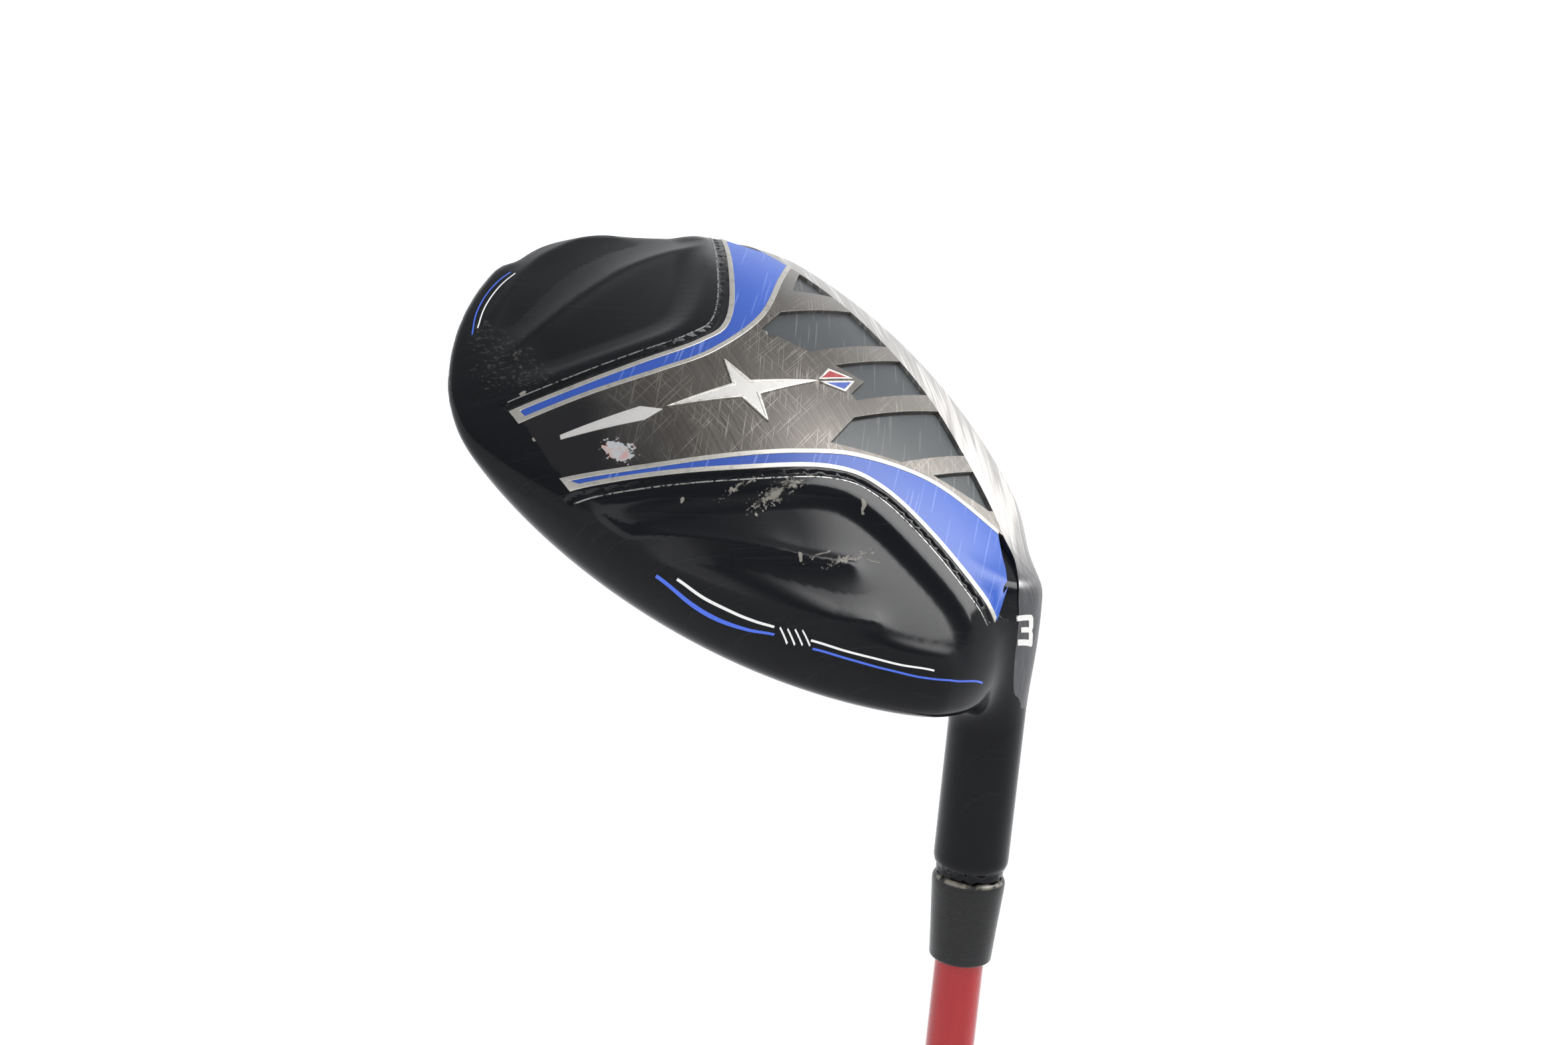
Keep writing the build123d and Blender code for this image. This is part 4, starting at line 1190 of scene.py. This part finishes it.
white_outlines = [strip(smooth_line(run), 0.16) for run in WHITE_RUNS]
for x, y in TICKS:
    white_outlines.append(strip(straight_line([(x + 1.0, y - 0.5), (x - 1.0, y + 0.5)]), 0.13))
join_prints("heel_white_line", white_outlines, WHITE_PRINT, "heel_pinstripe_white")
join_prints("heel_blue_line", [strip(smooth_line(run), 0.15) for run in BLUE_RUNS], BLUE_PRINT,
    "heel_pinstripe_blue")
join_prints("toe_white_line", [strip(smooth_line(TOE_WHITE_RUN), 0.16)], WHITE_PRINT,
    "toe_pinstripe_white")
join_prints("toe_blue_line", [strip(smooth_line(TOE_BLUE_RUN), 0.16)], BLUE_PRINT,
    "toe_pinstripe_blue")


def number_point(up, right):
    """Return a plan point of the club number from its own upright frame."""
    x = NUMBER_MIDDLE[0] + up * NUMBER_UP[0] + right * NUMBER_RIGHT[0]
    y = NUMBER_MIDDLE[1] + up * NUMBER_UP[1] + right * NUMBER_RIGHT[1]
    return (x, y)


THREE = [
    (3.0, -1.9), (3.0, 1.9), (2.5, 2.3), (0.6, 2.3), (0.0, 1.9), (-0.6, 2.3), (-2.5, 2.3), (-3.0, 1.9),
        (-3.0, -1.9),
    (-1.9, -1.9), (-1.9, 1.1), (-0.5, 1.1), (-0.5, -1.0), (0.5, -1.0), (0.5, 1.1), (1.9, 1.1), (1.9, -1.9),
]
three = np.array([number_point(up * 0.93, right * 0.9) for up, right in THREE])
three_low, three_high = three.min(0), three.max(0)
three_rows = [
    straight_line([(three_low[0], y), (three_high[0], y)], 0.4) for y in np.arange(three_low[1] + 0.2,
        three_high[1], 0.45)
]
join_prints("club_number_three", [three], NUMBER_PRINT, "club_number", 0.12, three_rows)

# --- Turned pieces on the shaft axis ---


def turned(name, profile, material, sides=96):
    """Spin a closed profile of radius and height round the shaft axis."""
    mesh = bpy.data.meshes.new(name)
    points = []
    for radius, height in profile:
        for side in range(sides):
            angle = 2 * pi * side / sides
            points.append((radius * cos(angle) * MM, radius * sin(angle) * MM, height * MM))
    faces = []
    count = len(profile)
    for row in range(count):
        for side in range(sides):
            ahead = (side + 1) % sides
            below, above = row * sides, (row + 1) % count * sides
            faces.append((below + side, below + ahead, above + ahead, above + side))
    mesh.from_pydata(points, [], faces)
    mesh.polygons.foreach_set("use_smooth", np.ones(len(faces), bool))
    mesh.set_sharp_from_angle(angle=radians(35))
    return place(name, mesh, material)


def rounded(radius, height, bevel, up, inward=False):
    """Return the arc of a rounded outer corner."""
    steps = [radians(90 * step / 5) for step in range(6)]
    arc = [(radius - bevel + bevel * cos(angle),
        height + up * (bevel * sin(angle) - bevel)) for angle in steps]
    return arc if not inward else arc[::-1]


ferrule_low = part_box("ferrule")[0].z / MM
ferrule_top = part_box("ferrule")[1].z / MM
tip_radius = 4.35
ferrule_profile = (
    [(tip_radius, ferrule_low)] + rounded(5.4, ferrule_low, 0.5, -1, True)
    + [(5.75, ferrule_low + 6.0), (6.12, ferrule_top - 4.2), (6.28, ferrule_top - 2.0)]
    + rounded(6.3, ferrule_top, 1.0, 1) + [(tip_radius, ferrule_top)]
)
ferrule = turned("ferrule_turned", ferrule_profile, PLASTIC)
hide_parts("ferrule")

# --- Shaft, grip and their fittings keep the exact turned shapes of the frame ---
for label, material in {
    "shaft": RED_SHAFT,
    "shaft_tip_plug": CAP_RUBBER,
    "glue_sleeve": GLUE,
    "grip_tape": PAPER_TAPE,
    "grip": RUBBER,
    "grip_cap": CAP_RUBBER,
    "cup_weld_bead": RAW_WELD,
    "forward_weight": RAW_WEIGHT,
}.items():
    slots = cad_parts[label].data.materials
    slots.clear()
    slots.append(material)

# --- Stage, lights and camera ---

stage_paint, stage_tree, stage_shader = start_finish("pale_stage", Roughness=0.9, Specular_IOR_Level=0.1,
    Emission_Color=(0.97, 0.98, 1.0, 1), Emission_Strength=0.45)
soft_mottle = noise(stage_tree, row_place(stage_tree, 1.0), 0.6, 2.0)
link(stage_tree, blend(stage_tree, soft_mottle, (0.86, 0.86, 0.86, 1), (0.88, 0.88, 0.88, 1)), stage_shader,
    "Base Color")
cove_profile = [(0.0, 0.0), (2.0, 0.0), (4.0, 0.0)]
for step in range(1, 13):
    angle = radians(90 * step / 12)
    cove_profile.append((4.0 + 2.0 * sin(angle), 2.0 - 2.0 * cos(angle)))
cove_profile.append((6.0, 5.0))
cove_mesh = bpy.data.meshes.new("pale_floor")
cove_points = []
for radius, height in cove_profile:
    for side in range(64):
        angle = 2 * pi * side / 64
        cove_points.append((max(radius, 0.001) * cos(angle), max(radius, 0.001) * sin(angle),
            height - 0.0002))
cove_faces = []
for row in range(len(cove_profile) - 1):
    for side in range(64):
        ahead = (side + 1) % 64
        cove_faces.append((row * 64 + side, row * 64 + ahead, (row + 1) * 64 + ahead, (row + 1) * 64 + side))
cove_mesh.from_pydata(cove_points, [], [face[::-1] for face in cove_faces])
cove_mesh.polygons.foreach_set("use_smooth", np.ones(len(cove_faces), bool))
cove_mesh.materials.append(stage_paint)
cove = bpy.data.objects.new("pale_floor", cove_mesh)
bpy.context.scene.collection.objects.link(cove)

world = bpy.data.worlds.new("soft_room")
bpy.context.scene.world = world
world.use_nodes = True
world.node_tree.nodes["Background"].inputs["Color"].default_value = (0.97, 0.98, 1.0, 1)
world.node_tree.nodes["Background"].inputs["Strength"].default_value = 0.5


def soft_light(name, spot, target, size, power, colour=(1.0, 1.0, 1.0)):
    """Add a square soft light that points at a target."""
    lamp = bpy.data.lights.new(name, "AREA")
    lamp.size = size
    lamp.energy = power
    lamp.color = colour
    holder = bpy.data.objects.new(name, lamp)
    holder.location = spot
    holder.rotation_euler = (Vector(target) - Vector(spot)).to_track_quat("-Z", "Y").to_euler()
    bpy.context.scene.collection.objects.link(holder)
    return holder


HEAD_SPOT = (0.03, 0.03, 1.08)
soft_light("key_panel", (-0.35, -0.8, 2.3), HEAD_SPOT, 0.85, 25.0)
soft_light("back_panel", (-0.9, 1.3, 2.5), HEAD_SPOT, 1.1, 8.0)

camera_data = bpy.data.cameras.new("camera")
camera_data.lens = 42.8
camera_data.sensor_width = 36.0
camera_data.clip_start = 0.02
camera_data.clip_end = 60.0
bpy.context.scene.view_settings.view_transform = "Standard"
camera = bpy.data.objects.new("camera", camera_data)
bpy.context.scene.collection.objects.link(camera)
ahead_way = Vector((0.77227, -0.60805, -0.18408)).normalized()
over_way = Vector((0.20005, -0.04227, 0.97888))
right_way = ahead_way.cross(over_way).normalized()
over_way = right_way.cross(ahead_way)
camera_matrix = Matrix((right_way, over_way, -ahead_way)).transposed().to_4x4()
camera_matrix.translation = (-0.21653, 0.21782, 1.14625)
camera.matrix_world = camera_matrix
bpy.context.scene.camera = camera
